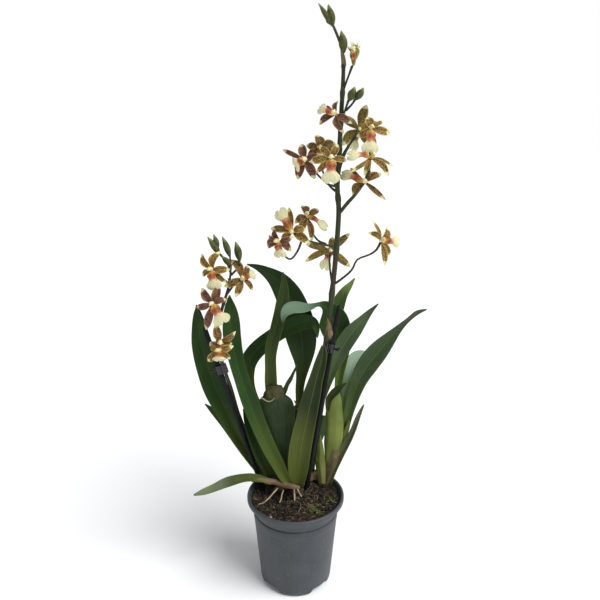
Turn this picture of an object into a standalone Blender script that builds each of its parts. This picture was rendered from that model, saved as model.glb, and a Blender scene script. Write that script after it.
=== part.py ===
"""Potted orchid: a two-spiked Oncidium-type plant, staked, in a plastic nursery pot.

Metres, +Z up. The origin is the centre of the pot's underside, where it meets the table. -Y is the
plant's front. The plant's own points are in millimetres from the crown datum, which lies on the pot's
axis at the nominal level of the growing medium.
"""

import math

import bmesh
import bpy
from mathutils import Matrix, Vector

for old in list(bpy.data.objects):
    bpy.data.objects.remove(old, do_unlink=True)

MM = 0.001
GAP = 0.3 * MM  # between pieces that touch

# Pot
POT_HEIGHT = 118 * MM
RIM_DIAMETER = 120 * MM
BASE_DIAMETER = 82 * MM
POT_WALL = 1.6 * MM
LIP_HEIGHT = 5 * MM
COVE_HEIGHT = 12 * MM
COVE_DEPTH = 6.5 * MM  # how far the rim flares past the band under it
BAND_HEIGHT = 10 * MM
BAND_STEP = 0.8 * MM
HEEL_HEIGHT = 12 * MM
HEEL_BULGE = 3.3 * MM
FLOOR_RAISE = 3 * MM  # the drained ring of the floor stands this far off the table
FLOOR_WALL = 2 * MM
PAD_RADIUS = 16 * MM
FOOT_WIDTH = 5 * MM
NOTCH_WIDTH = 22 * MM
NOTCH_HEIGHT = 3.5 * MM
DRAIN_RADIUS = 3 * MM
DRAIN_COUNT = 8
POT_SIDES = 36

# Growing medium
MEDIUM_DROP = 10 * MM  # below the rim
MEDIUM_SIDES = 24
CROWN = POT_HEIGHT - MEDIUM_DROP  # height of the plant's datum

# Supports
STAKE_DIAMETER = 5.6 * MM
STAKE_SIDES = 10
STAKE_CLEAR_OF_FLOOR = 4 * MM
CLIP_WALL = 1.8 * MM
CLIP_HEIGHT = 11 * MM

# Plant
LEAF_THICKNESS = 1.2 * MM
LEAF_STATIONS = 9
TALL_STEM_DIAMETER = 5.2 * MM
SHORT_STEM_DIAMETER = 4.4 * MM
STEM_TIP_SHARE = 0.45  # of the diameter at the foot
PEDICEL_DIAMETER = 2.2 * MM
STEM_SIDES = 8
PEDICEL_SIDES = 6
FLOWER_REACH = 17 * MM  # from the flower's centre to a tepal's tip


def material(name, color, roughness, metallic=0.0):
    made = bpy.data.materials.new(name)
    made.use_nodes = True
    shader = made.node_tree.nodes["Principled BSDF"]
    shader.inputs["Base Color"].default_value = (*color, 1.0)
    shader.inputs["Roughness"].default_value = roughness
    shader.inputs["Metallic"].default_value = metallic
    return made


POT_PLASTIC = material("pot_plastic", (0.075, 0.085, 0.095), 0.55)
BARK = material("bark", (0.035, 0.022, 0.014), 0.95)
BLACK_PLASTIC = material("black_plastic", (0.008, 0.008, 0.009), 0.35)
LEAF_GREEN = material("leaf_green", (0.03, 0.075, 0.018), 0.4)
BULB_GREEN = material("bulb_green", (0.025, 0.05, 0.018), 0.45)
PALE_GREEN = material("pale_green", (0.12, 0.17, 0.04), 0.45)
DRY_SHEATH = material("dry_sheath", (0.25, 0.17, 0.09), 0.8)
ROOT_TAN = material("root_tan", (0.36, 0.28, 0.18), 0.8)
STEM_OLIVE = material("stem_olive", (0.05, 0.05, 0.025), 0.5)
TEPAL_BROWN = material("tepal_brown", (0.16, 0.07, 0.03), 0.55)
BUD_GREEN = material("bud_green", (0.07, 0.09, 0.025), 0.5)


def crown_point(point):
    """A point given in millimetres from the crown datum, in metres from the origin."""
    return Vector((point[0] * MM, point[1] * MM, point[2] * MM + CROWN))


def new_object(name, bm, surface, smooth_angle=50):
    bmesh.ops.recalc_face_normals(bm, faces=bm.faces[:])
    mesh = bpy.data.meshes.new(name)
    bm.to_mesh(mesh)
    bm.free()
    mesh.materials.append(surface)
    mesh.shade_smooth()
    mesh.set_sharp_from_angle(angle=math.radians(smooth_angle))
    made = bpy.data.objects.new(name, mesh)
    bpy.context.scene.collection.objects.link(made)
    return made


def boolean(target, other, operation):
    """Cut or join another object into the target, and leave the other as a hidden guide."""
    cut = target.modifiers.new(f"{operation.lower()}_{other.name}", "BOOLEAN")
    cut.operation = operation
    cut.object = other
    other.hide_render = True
    other.display_type = "WIRE"


def smooth_route(points, count):
    """Evenly spaced points along the smooth curve through the given ones."""
    ends = [points[0] * 2 - points[1], *points, points[-1] * 2 - points[-2]]
    fine = []
    steps = 12
    for i in range(1, len(ends) - 2):
        a, b, c, d = ends[i - 1 : i + 3]
        for step in range(steps):
            t = step / steps
            fine.append(
                0.5
                * (2 * b + (c - a) * t + (2 * a - 5 * b + 4 * c - d) * t**2 + (3 * b - a - 3 * c + d) * t**3)
            )
    fine.append(points[-1].copy())
    lengths = [0.0]
    for p, q in zip(fine, fine[1:]):
        lengths.append(lengths[-1] + (q - p).length)
    route, i = [], 0
    for k in range(count):
        want = lengths[-1] * k / (count - 1)
        while i < len(fine) - 2 and lengths[i + 1] < want:
            i += 1
        span = lengths[i + 1] - lengths[i]
        route.append(fine[i].lerp(fine[i + 1], (want - lengths[i]) / span if span else 0.0))
    return route


def along(route, share):
    """The point a share of the way along a route, and the direction there."""
    place = share * (len(route) - 1)
    i = min(int(place), len(route) - 2)
    return route[i].lerp(route[i + 1], place - i), (route[i + 1] - route[i]).normalized()


def tangents(route):
    last = len(route) - 1
    return [(route[min(i + 1, last)] - route[max(i - 1, 0)]).normalized() for i in range(last + 1)]


def loft(rings, tip=None):
    """A closed solid through rings of matching points, capped, or drawn to a point at the tip."""
    bm = bmesh.new()
    loops = [[bm.verts.new(p) for p in ring] for ring in rings]
    sides = len(loops[0])
    for low, high in zip(loops, loops[1:]):
        for i in range(sides):
            j = (i + 1) % sides
            bm.faces.new((low[i], low[j], high[j], high[i]))
    bm.faces.new(list(reversed(loops[0])))
    if tip is None:
        bm.faces.new(loops[-1])
    else:
        point = bm.verts.new(tip)
        for i in range(sides):
            bm.faces.new((loops[-1][i], loops[-1][(i + 1) % sides], point))
    return bm


def round_rings(route, radii, sides, flat=1.0):
    """Rings about a route; flat squashes each one from front to back."""
    facing = Vector((0, -1, 0.2))
    rings = []
    for centre, ahead, radius in zip(route, tangents(route), radii):
        across = ahead.cross(facing).normalized()
        out = across.cross(ahead).normalized()
        turn = [math.tau * i / sides for i in range(sides)]
        rings.append(
            [centre + across * radius * math.cos(a) + out * radius * flat * math.sin(a) for a in turn]
        )
    return rings


def rod(name, route, radii, sides, surface):
    return new_object(name, loft(round_rings(route, radii, sides)), surface)


# --- Pot -------------------------------------------------------------------------------------------

RIM = RIM_DIAMETER / 2
BASE = BASE_DIAMETER / 2
BAND = RIM - COVE_DEPTH - 1.2 * MM
HEEL = BASE + HEEL_BULGE
FLOOR_TOP = FLOOR_RAISE + FLOOR_WALL
COVE_TOP = POT_HEIGHT - LIP_HEIGHT
COVE_FOOT = COVE_TOP - COVE_HEIGHT
BAND_FOOT = COVE_FOOT - BAND_HEIGHT


def cove(inset, steps=4):
    """Quarter-ellipse points from the band up to the lip, moved in by the wall for the inner side."""
    reach = RIM - 1.2 * MM - BAND
    points = []
    for i in range(steps + 1):
        turn = math.radians(90) * i / steps
        r = BAND + reach * (1 - math.cos(turn)) - inset
        points.append((r, COVE_FOOT + COVE_HEIGHT * math.sin(turn)))
    return points


def outer_wall():
    heel = []
    for i in range(4):
        turn = math.radians(90) * i / 3
        heel.append((BASE + HEEL_BULGE * math.sin(turn), HEEL_HEIGHT * (1 - math.cos(turn))))
    body = [
        (BAND - 1.6 * BAND_STEP, BAND_FOOT - 1.6 * MM),
        (BAND - BAND_STEP, BAND_FOOT),
        (BAND, COVE_FOOT - 1 * MM),
    ]
    lip = [
        (RIM - 0.5 * MM, COVE_TOP),
        (RIM, COVE_TOP + 1 * MM),
        (RIM, POT_HEIGHT - 1.4 * MM),
        (RIM - 1 * MM, POT_HEIGHT),
    ]
    return heel + body + cove(0) + lip


def inner_wall():
    lip = [(RIM - 2.6 * MM, POT_HEIGHT), (RIM - 3.4 * MM, POT_HEIGHT - 1 * MM)]
    body = [
        (BAND - POT_WALL - BAND_STEP, BAND_FOOT),
        (HEEL - POT_WALL, HEEL_HEIGHT),
        (BASE - POT_WALL, FLOOR_TOP),
    ]
    return lip + list(reversed(cove(POT_WALL + 0.6 * MM))) + body


def underside():
    ring_in = PAD_RADIUS + 2 * MM
    ring_out = BASE - FOOT_WIDTH
    return [(PAD_RADIUS, 0.0), (ring_in, FLOOR_RAISE), (ring_out, FLOOR_RAISE), (ring_out + 1 * MM, 0.0)]


def inner_radius(height):
    """The pot's inside radius at a height."""
    wall = sorted(inner_wall(), key=lambda p: p[1])
    for (r0, z0), (r1, z1) in zip(wall, wall[1:]):
        if z0 <= height <= z1:
            return r0 + (r1 - r0) * (height - z0) / (z1 - z0)
    return wall[0][0] if height < wall[0][1] else wall[-1][0]


def make_pot():
    profile = [(0.0, 0.0), *underside(), *outer_wall(), *inner_wall(), (0.0, FLOOR_TOP)]
    bm = bmesh.new()
    verts = [bm.verts.new((r, 0, z)) for r, z in profile]
    edges = [bm.edges.new(pair) for pair in zip(verts, verts[1:])]
    bmesh.ops.spin(
        bm,
        geom=verts + edges,
        cent=(0, 0, 0),
        axis=(0, 0, 1),
        angle=math.tau,
        steps=POT_SIDES,
        use_merge=True,
    )
    bmesh.ops.remove_doubles(bm, verts=bm.verts[:], dist=0.01 * MM)
    pot = new_object("pot", bm, POT_PLASTIC, 35)

    arch = (NOTCH_WIDTH**2 / 4 + NOTCH_HEIGHT**2) / (2 * NOTCH_HEIGHT)
    across_foot = Matrix.Translation((BASE, 0, NOTCH_HEIGHT - arch)) @ Matrix.Rotation(math.pi / 2, 4, "Y")
    notches = bmesh.new()
    for quarter in range(4):
        turn = Matrix.Rotation(math.radians(45 + 90 * quarter), 4, "Z")
        bmesh.ops.create_cone(
            notches,
            cap_ends=True,
            segments=48,
            radius1=arch,
            radius2=arch,
            depth=FOOT_WIDTH * 4,
            matrix=turn @ across_foot,
        )
    boolean(pot, new_object("notch_cutter", notches, POT_PLASTIC), "DIFFERENCE")

    drains = bmesh.new()
    ring_middle = (PAD_RADIUS + BASE - FOOT_WIDTH) / 2 + 1 * MM
    for hole in range(DRAIN_COUNT):
        turn = Matrix.Rotation(math.tau * (hole + 0.5) / DRAIN_COUNT, 4, "Z")
        bmesh.ops.create_cone(
            drains,
            cap_ends=True,
            segments=12,
            radius1=DRAIN_RADIUS,
            radius2=DRAIN_RADIUS,
            depth=4 * FLOOR_TOP,
            matrix=turn @ Matrix.Translation((ring_middle, 0, 0)),
        )
    boolean(pot, new_object("drain_cutter", drains, POT_PLASTIC), "DIFFERENCE")


make_pot()


# --- Growing medium --------------------------------------------------------------------------------

def heap(x, y, middle_x, middle_y, spread, rise):
    """A soft mound's or hollow's share of the surface height; x, y and the rest in millimetres."""
    return rise * math.exp(-((x - middle_x) ** 2 + (y - middle_y) ** 2) / (2 * spread**2))


def medium_height(x, y):
    """The medium's top surface over a point in metres: heaped at the crown, hollow at the left."""
    u, v = x / MM, y / MM
    lumps = 0.8 * math.sin(u * 0.31 + 1.0) * math.cos(v * 0.27)
    rise = heap(u, v, 24, 16, 20, 9) + heap(u, v, -30, 2, 16, -5) + lumps
    edge = min(1.0, max(0.0, 4 * (1 - math.hypot(x, y) / inner_radius(CROWN))))
    return CROWN + rise * edge * MM


def make_medium():
    levels = [FLOOR_TOP + GAP, HEEL_HEIGHT, BAND_FOOT, COVE_FOOT, CROWN]
    turn = [math.tau * i / MEDIUM_SIDES for i in range(MEDIUM_SIDES)]
    rings = []
    for z in levels:
        r = inner_radius(z) - GAP * 2
        rings.append([Vector((r * math.cos(a), r * math.sin(a), z)) for a in turn])
    top = inner_radius(CROWN) - GAP * 2
    for share in (0.86, 0.7, 0.52, 0.34, 0.16):
        ring = [(top * share * math.cos(a), top * share * math.sin(a)) for a in turn]
        rings.append([Vector((x, y, medium_height(x, y))) for x, y in ring])
    return new_object("growing_medium", loft(rings, Vector((0, 0, medium_height(0, 0)))), BARK)


medium = make_medium()


# --- Stakes ----------------------------------------------------------------------------------------

STAKE = STAKE_DIAMETER / 2
RIGHT_STAKE = (crown_point((14, 14, 8)), crown_point((51, 20, 248)))
LEFT_STAKE = (crown_point((-45, 18, 14)), crown_point((-114, 12, 250)))


def make_stake(name, line):
    low, high = line
    ahead = (high - low).normalized()
    foot = low - ahead * (low.z - FLOOR_TOP - STAKE_CLEAR_OF_FLOOR) / ahead.z
    route = [foot, low, high, high + ahead * 1.2 * MM]
    stake = rod(name, route, [STAKE, STAKE, STAKE, STAKE * 0.6], STAKE_SIDES, BLACK_PLASTIC)
    hole_route = [foot - ahead * GAP * 2, low, high]
    hole = rod(f"{name}_hole_cutter", hole_route, [STAKE + GAP * 1.2] * 3, STAKE_SIDES, BARK)
    boolean(medium, hole, "DIFFERENCE")
    return stake


make_stake("stake_right", RIGHT_STAKE)
make_stake("stake_left", LEFT_STAKE)


# --- Rhizome, pseudobulbs and roots ----------------------------------------------------------------

def make_tapered(name, points, radii, surface, sides=8, flat=1.0, count=9):
    """A closed rounded body along a smooth route; radii in millimetres, blended along it."""
    route = smooth_route([crown_point(p) for p in points], count)
    spans = len(radii) - 1
    sizes = []
    for i in range(count):
        place = i / (count - 1) * spans
        k = min(int(place), spans - 1)
        sizes.append((radii[k] + (radii[k + 1] - radii[k]) * (place - k)) * MM)
    return new_object(name, loft(round_rings(route, sizes, sides, flat)), surface)


def on_medium(x, y, lift):
    """A crown point a little above the medium's surface at x, y; all in millimetres."""
    return (x, y, (medium_height(x * MM, y * MM) - CROWN) / MM + lift)


make_tapered(
    "rhizome",
    [on_medium(-22, 20, 6.5), on_medium(2, 26, 7), on_medium(30, 34, 8.5)],
    [2, 4.6, 4.8, 5, 4.6, 3],
    DRY_SHEATH,
)
make_tapered(
    "pseudobulb_centre",
    [(-20, 22, 22), (-25, 25, 72), (-27, 28, 130)],
    [5, 12, 18, 22, 23, 23, 20, 8],
    BULB_GREEN,
    sides=14,
    flat=0.42,
    count=11,
)
make_tapered(
    "pseudobulb_right",
    [(38, 33, 21), (46, 36, 56), (49, 37, 94), (49, 36, 130)],
    [4, 5, 9, 12, 12.5, 11, 7, 4],
    PALE_GREEN,
    sides=12,
    flat=0.5,
)
make_tapered(
    "pseudobulb_back",
    [(4, 56, 16), (3, 60, 60), (2, 64, 104)],
    [5, 12, 14, 12, 8, 4],
    BULB_GREEN,
    sides=12,
    flat=0.5,
)

ROOTS = {
    "root_left": [(-22, 4, 10), (-32, -3, 5), on_medium(-44, -10, 2.6)],
    "root_left_short": [(-15, 3, 12), (-18, 0, 5), on_medium(-20, -4, 2.2)],
    "root_front": [(-4, 3, 12), (-3, -3, 6), on_medium(-2, -9, 2.2)],
    "root_right": [(4, 2, 11), (8, -4, 7), on_medium(12, -9, 2.4)],
}
for name, points in ROOTS.items():
    make_tapered(name, points, [1.1, 1.2, 1.1, 0.7], ROOT_TAN, sides=6, count=7)


# --- Leaves and sheaths ----------------------------------------------------------------------------

def blade_rings(route, width, facings, fold, neck, fullest):
    """Lens-shaped sections of a blade, folded along the midrib and flattening towards its tip."""
    rings = []
    last = len(route) - 1
    for i, (centre, ahead) in enumerate(zip(route[:-1], tangents(route))):
        t = i / last
        if t < fullest:
            share = neck + (1 - neck) * math.sin(math.radians(90) * t / fullest)
        else:
            share = math.cos(math.radians(90) * (t - fullest) / (1 - fullest))
        facing = facings[0].lerp(facings[1], t)
        across = ahead.cross(facing).normalized()
        out = across.cross(ahead).normalized()
        half = width / 2 * share
        droop = out * half * fold * (1 - 0.7 * t)
        skin = out * LEAF_THICKNESS / 2
        midrib = centre - droop
        rings.append([centre + across * half, midrib + skin, centre - across * half, midrib - skin])
    return rings


# name: (midrib points, width, where the upper face looks at the foot and the tip, fold, neck, fullest)
LEAVES = {
    "leaf_left_outer": (
        [(-38, 27, 15), (-71, 30, 71), (-99, 28, 127), (-112, 20, 189), (-116, 6, 232), (-111, -6, 253)],
        28, (0.3, -1, 0.3), (0.2, -1, 0.2), 0.35, 0.35, 0.55,
    ),
    "leaf_left_short": (
        [(-36, 36, 18), (-55, 40, 41), (-76, 44, 71), (-93, 46, 98)],
        10, (0.3, -1, 0.5), (0.2, -1, 0.5), 0.35, 0.4, 0.55,
    ),
    "leaf_left_front": (
        [
            (-12, 7, 24), (-23, 6, 48), (-34, 6, 72), (-56, 12, 130), (-70, 20, 178), (-77, 30, 224),
            (-79, 42, 252),
        ],
        22, (0.5, -1, 0.2), (0.6, -1, 0.2), 0.35, 0.5, 0.7,
    ),
    "leaf_left_inner": (
        [
            (-20, 40, 18), (-34, 44, 37), (-49, 48, 78), (-61, 60, 124), (-54, 66, 157), (-33, 66, 184),
            (-8, 62, 208), (15, 58, 218), (26, 50, 198),
        ],
        25, (0, -1, 0.2), (0.2, -1, -0.3), 0.35, 0.4, 0.6,
    ),
    "leaf_left_stub": (
        [(-33, 15, 18), (-39, 13, 35), (-45, 12, 61), (-53, 14, 87), (-62, 19, 107)],
        20, (0.4, -1, 0.3), (0.3, -1, 0.3), 0.25, 0.5, 0.5,
    ),
    "leaf_left_low": (
        [(-36, 4, 24), (-50, 8, 25), (-64, 12, 24), (-91, 12, 14), (-111, 8, 7), (-127, 4, 5)],
        12, (0.1, -0.6, 1), (0.1, -0.6, 1), 0.3, 0.8, 0.5,
    ),
    "leaf_front": (
        [(2, 10, 22), (6, 5, 63), (13, 4, 105), (21, 3, 145), (29, 5, 177), (33, 9, 199)],
        26, (-0.3, -1, 0.1), (-0.3, -1, 0.1), 0.35, 0.6, 0.4,
    ),
    "leaf_bulb_tall": (
        [(-30, 29, 138), (-31, 31, 164), (-29, 35, 195), (-19, 41, 232), (-14, 45, 260), (-15, 47, 280)],
        15, (0.25, -1, 0.1), (0.25, -1, 0.1), 0.5, 0.7, 0.55,
    ),
    "leaf_bulb_thin": (
        [(-8, 38, 128), (-6, 43, 142), (0, 50, 162)],
        7, (1, -0.6, 0.2), (1, -0.6, 0.2), 0.35, 0.4, 0.4,
    ),
    "leaf_back_centre": (
        [
            (4, 66, 110), (7, 69, 138), (9, 72, 174), (2, 75, 214), (-11, 76, 250), (-33, 76, 274),
            (-60, 74, 286),
        ],
        40, (0, -1, 0.15), (0, -1, 0.15), 0.35, 0.25, 0.5,
    ),
    "leaf_back_right": (
        [
            (22, 48, 22), (29, 66, 80), (38, 82, 137), (46, 90, 185), (56, 94, 229), (69, 96, 251),
            (76, 97, 261),
        ],
        18, (-0.2, -1, 0.3), (-0.2, -1, 0.3), 0.35, 0.4, 0.75,
    ),
    "leaf_centre_arching": (
        [
            (55, 52, 134), (57, 56, 165), (50, 58, 204), (38, 55, 232), (17, 40, 240), (-6, 22, 243),
            (-14, 11, 230),
        ],
        30, (0, -1, 0.2), (0, -0.8, 0.7), 0.3, 0.3, 0.42,
    ),
    "leaf_right_inner": (
        [
            (19, 42, 22), (21, 42, 60), (29, 43, 104), (42, 43, 142), (56, 44, 183), (73, 46, 210),
            (101, 50, 241),
        ],
        20, (-0.2, -1, 0.2), (-0.2, -1, 0.2), 0.35, 0.35, 0.65,
    ),
    "leaf_right_outer": (
        [
            (48, 40, 24), (60, 45, 60), (68, 39, 96), (72, 28, 128), (78, 18, 157), (94, 11, 188),
            (114, -1, 220), (144, -24, 256),
        ],
        25, (-0.3, -1, 0.4), (-0.3, -1, 0.4), 0.35, 0.3, 0.6,
    ),
    "leaf_right_bent": (
        [
            (38, 49, 22), (53, 54, 69), (64, 56, 104), (72, 64, 131), (83, 78, 153), (95, 98, 158),
            (107, 122, 141),
        ],
        25, (-0.4, -1, 0.4), (0, -0.2, 1), 0.3, 0.3, 0.7,
    ),
    "leaf_right_small": (
        [(37, 22, 122), (46, 19, 137), (53, 16, 146), (61, 12, 152)],
        8, (-0.3, -1, 0.5), (-0.3, -1, 0.5), 0.35, 0.4, 0.5,
    ),
    "leaf_right_narrow": (
        [(52, 29, 24), (58, 30, 45), (65, 31, 60), (73, 31, 77), (80, 33, 97), (86, 38, 112)],
        8, (-0.6, -1, 0.2), (-0.6, -1, 0.2), 0.35, 0.5, 0.4,
    ),
    "sheath_dry": (
        [(-3, 5, 17), (-13, 3, 18.5), (-29, 3, 20)],
        9, (0.1, -1, 0.7), (0.1, -1, 0.7), 0.25, 0.7, 0.5,
    ),
    "sheath_green": (
        [(37, 22, 18), (38, 23, 44), (38, 25, 66)],
        17, (0, -1, 0.2), (0, -1, 0.2), 0.35, 0.8, 0.2,
    ),
}
SURFACES = {"sheath_dry": DRY_SHEATH, "sheath_green": PALE_GREEN}
for name, (points, width, facing_foot, facing_tip, fold, neck, fullest) in LEAVES.items():
    route = smooth_route([crown_point(p) for p in points], LEAF_STATIONS)
    facings = (Vector(facing_foot), Vector(facing_tip))
    blade = loft(blade_rings(route, width * MM, facings, fold, neck, fullest), route[-1])
    new_object(name, blade, SURFACES.get(name, LEAF_GREEN), 30)


# --- Flower spikes ---------------------------------------------------------------------------------

TALL_STEM = TALL_STEM_DIAMETER / 2
SHORT_STEM = SHORT_STEM_DIAMETER / 2
PEDICEL = PEDICEL_DIAMETER / 2
HUB_RADIUS = 2.6 * MM
HUB_HALF = 1.5 * MM
NECK_LENGTH = 4 * MM


def clip_places(line, share, side, stem):
    """Where a clip holds: the stake's axis there, and the stem's axis beside it."""
    low, high = line
    ahead = (high - low).normalized()
    on_stake = low.lerp(high, share)
    beside = (Vector(side) - ahead * Vector(side).dot(ahead)).normalized()
    return on_stake, on_stake + beside * (STAKE + stem + 1.4 * MM), ahead


RIGHT_HOLD = clip_places(RIGHT_STAKE, 0.78, (-1, 0.35, 0), TALL_STEM * 0.85)
LEFT_HOLD = clip_places(LEFT_STAKE, 0.66, (1, -0.25, 0), SHORT_STEM * 0.85)


def stem_route(below, hold, above, count):
    """A stem's route past its clip, straight along the stake where the clip holds it."""
    place, ahead = hold[1], hold[2]
    held = [place - ahead * CLIP_HEIGHT, place, place + ahead * CLIP_HEIGHT]
    return smooth_route([crown_point(p) for p in below] + held + [crown_point(p) for p in above], count)


TALL = stem_route(
    [(12, 23, 22), (18, 24, 70), (24, 22, 130)],
    RIGHT_HOLD,
    [
        (42, 23, 253),
        (46, 24, 298),
        (49, 24, 353),
        (47, 24, 383),
        (49, 24, 436),
        (51, 24, 490),
        (49, 22, 525),
        (40, 18, 545),
    ],
    26,
)
SHORT = stem_route(
    [(-30, 31, 22), (-57, 25, 64), (-68, 22, 104), (-75, 17, 140)],
    LEFT_HOLD,
    [(-90, 9, 212), (-83, 8, 250), (-74, 9, 280), (-73, 9, 306)],
    20,
)


def stem_radii(foot, count):
    return [foot * (1 - (1 - STEM_TIP_SHARE) * i / (count - 1)) for i in range(count)]


def flower_mesh(spread):
    """One flower about its own centre: it faces +Z with its top sepal along +Y; a greater spread
    bends the tepals back. Six arms grow from a hexagonal hub: three sepals, two petals and the lip."""
    bm = bmesh.new()
    bmesh.ops.create_cone(
        bm,
        cap_ends=True,
        segments=6,
        radius1=HUB_RADIUS,
        radius2=HUB_RADIUS,
        depth=2 * HUB_HALF,
        matrix=Matrix.Rotation(math.radians(30), 4, "Z"),
    )
    bm.normal_update()
    arms = [face for face in bm.faces if abs(face.normal.z) < 0.5]
    caps = [face for face in bm.faces if face not in arms]
    for face in arms:
        out = face.normal.copy()
        side = Vector((-out.y, out.x, 0))
        is_lip = out.y < -0.9
        widths = (1.8, 4.0, 5.5) if is_lip else (2.6, 3.4, 0.9)
        for share, half_width in zip((0.42, 0.72, 1.0), widths):
            signs = [(1 if v.co.dot(side) > 0 else -1, v) for v in face.verts]
            middle = sum(v.co.z for v in face.verts) / 4
            corners = [(sign, 1 if v.co.z > middle else -1) for sign, v in signs]
            face = bmesh.ops.extrude_discrete_faces(bm, faces=[face])["faces"][0]
            lift = -spread * MM * share**2 * (0.3 if is_lip else 1)
            for vert, (across, over) in zip(face.verts, corners):
                vert.co = out * FLOWER_REACH * share + side * across * half_width * MM
                vert.co.z = lift + over * 0.6 * MM
    for face in caps:
        front = face.normal.z > 0
        end = bmesh.ops.extrude_discrete_faces(bm, faces=[face])["faces"][0]
        for vert in end.verts:
            vert.co.x *= 0.6 if front else PEDICEL / HUB_RADIUS
            vert.co.y *= 0.6 if front else PEDICEL / HUB_RADIUS
            vert.co.z += 3.5 * MM if front else -NECK_LENGTH
    return bm


def turned_to(place, facing, top):
    """The matrix that puts a flower at a place, looking one way, with its top sepal towards another."""
    ahead = Vector(facing).normalized()
    right = Vector(top).cross(ahead).normalized()
    up = ahead.cross(right)
    turn = Matrix((right, up, ahead)).transposed()
    return Matrix.Translation(place) @ turn.to_4x4()


def add_pedicel(stem, name, start, via, end, ahead):
    """Join a stalk to the stem: from inside it, by way of some points, straight up to its flower."""
    way = [crown_point(p) for p in via] + [end - ahead * PEDICEL * 3]
    route = smooth_route([start, *way, end - ahead * PEDICEL], 2 + 2 * len(way)) + [end]
    boolean(stem, rod(name, route, [PEDICEL] * len(route), PEDICEL_SIDES, STEM_OLIVE), "UNION")


def make_spike(name, route, foot, flowers, buds):
    stem = rod(name, route, stem_radii(foot, len(route)), STEM_SIDES, STEM_OLIVE)
    for flower, (share, via, middle, facing, top, spread) in flowers.items():
        place = crown_point(middle)
        bloom = new_object(flower, flower_mesh(spread), TEPAL_BROWN, 30)
        bloom.matrix_world = turned_to(place, facing, top)
        ahead = Vector(facing).normalized()
        end = place - ahead * (HUB_HALF + NECK_LENGTH + GAP * 1.5)
        add_pedicel(stem, f"{flower}_pedicel_guide", along(route, share)[0], via, end, ahead)
    for bud, (share, via, low, high, width) in buds.items():
        foot_of_bud, tip = crown_point(low), crown_point(high)
        ahead = (tip - foot_of_bud).normalized()
        half = width / 2 * MM
        shape = ((0.0, 0.3), (0.25, 0.85), (0.5, 1.0), (0.75, 0.7), (0.93, 0.3))
        rings = round_rings([foot_of_bud.lerp(tip, s) for s, _ in shape], [half * r for _, r in shape], 8)
        new_object(bud, loft(rings, tip), BUD_GREEN)
        if share is not None:
            end = foot_of_bud - ahead * GAP * 1.5
            add_pedicel(stem, f"{bud}_pedicel_guide", along(route, share)[0], via, end, ahead)
    return stem


# name: (share of the stem where its stalk leaves, stalk's way points, centre, facing, top, spread)
TALL_FLOWERS = {
    "flower_tall_01": (0.80, [], (42, 8, 461), (-0.5, -0.6, 0.6), (0.2, 0.3, 1), 4),
    "flower_tall_02": (0.74, [(60, 28, 430)], (72, 36, 447), (0.2, 0.95, 0.25), (0.4, 0, 1), 3),
    "flower_tall_03": (0.75, [(66, 17, 428)], (82, 10, 441), (0.8, -0.5, 0.2), (0, 0, 1), 3),
    "flower_tall_04": (
        0.625,
        [(62, 14, 374), (82, 7, 392)],
        (80, 4, 416), (-0.4, -0.4, 0.8), (0.4, 0, 1), 4,
    ),
    "flower_tall_05": (0.63, [(56, 28, 374)], (68, 26, 387), (0.5, 0.6, 0.5), (0, 0, 1), 4),
    "flower_tall_06": (0.655, [(26, 24, 384)], (8, 14, 407), (-0.5, -0.85, 0.2), (0, 0, 1), 3),
    "flower_tall_07": (0.66, [(36, 34, 392)], (24, 42, 424), (0.2, 0.5, 0.8), (0, -0.6, 0.6), 3),
    "flower_tall_08": (0.645, [(38, 12, 386)], (38, 0, 410), (0, -1, 0.3), (0, 0, 1), 3),
    "flower_tall_09": (
        0.555,
        [(22, 22, 330), (6, 18, 330)],
        (-6, 10, 342), (-0.5, -0.8, 0.4), (0.2, 0, 1), 4,
    ),
    "flower_tall_10": (0.56, [(26, 30, 334)], (14, 36, 353), (0.1, 0.5, 0.9), (0, -1, 0.4), 4),
    "flower_tall_11": (0.55, [(20, 12, 318), (0, 2, 308)], (-20, -6, 318), (-0.7, -0.5, 0.2), (0, 0, 1), 4),
    "flower_tall_12": (0.50, [(38, 26, 300)], (36, 40, 319), (0, 0.95, 0.1), (0, 0, 1), 3),
    "flower_tall_13": (
        0.485,
        [(60, 20, 298), (74, 18, 308), (88, 18, 313)],
        (104, 16, 326), (0.8, -0.2, 0.4), (0, 0, 1), 4,
    ),
}
# name: (share of the stem or None at its tip, stalk's way points, foot, tip, width)
TALL_BUDS = {
    "bud_tall_tip": (None, [], (37, 17, 550), (26, 16, 566), 8),
    "bud_tall_upper": (0.935, [], (54, 20, 520), (53, 20, 539), 7),
    "bud_tall_open": (0.89, [], (61, 14, 505), (65, 12, 528), 10),
    "bud_tall_green": (0.85, [(58, 20, 468)], (62, 16, 474), (76, 12, 488), 9),
}
SHORT_FLOWERS = {
    "flower_short_01": (0.88, [(-82, 6, 285)], (-94, -2, 299), (-0.6, -0.7, 0.3), (0.2, 0, 1), 4),
    "flower_short_02": (0.82, [], (-54, 11, 286), (0.8, -0.2, 0.4), (-0.3, 0, 1), 4),
    "flower_short_03": (0.72, [(-89, -2, 242)], (-91, -12, 256), (-0.1, -1, 0.1), (0.3, 0, 1), 2),
    "flower_short_04": (0.66, [], (-77, -10, 214), (0.7, -0.7, 0.1), (-0.2, 0, 1), 4),
    "flower_short_05": (0.60, [], (-100, -8, 192), (-0.7, -0.7, -0.1), (0, 0, 1), 4),
}
SHORT_BUDS = {
    "bud_short_tip": (None, [], (-74, 9, 309), (-81, 9, 331), 9),
    "bud_short_left": (0.94, [], (-86, 14, 311), (-96, 12, 332), 8),
    "bud_short_right": (0.93, [], (-64, 18, 303), (-66, 18, 325), 9),
}
make_spike("spike_tall", TALL, TALL_STEM, TALL_FLOWERS, TALL_BUDS)
make_spike("spike_short", SHORT, SHORT_STEM, SHORT_FLOWERS, SHORT_BUDS)


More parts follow.
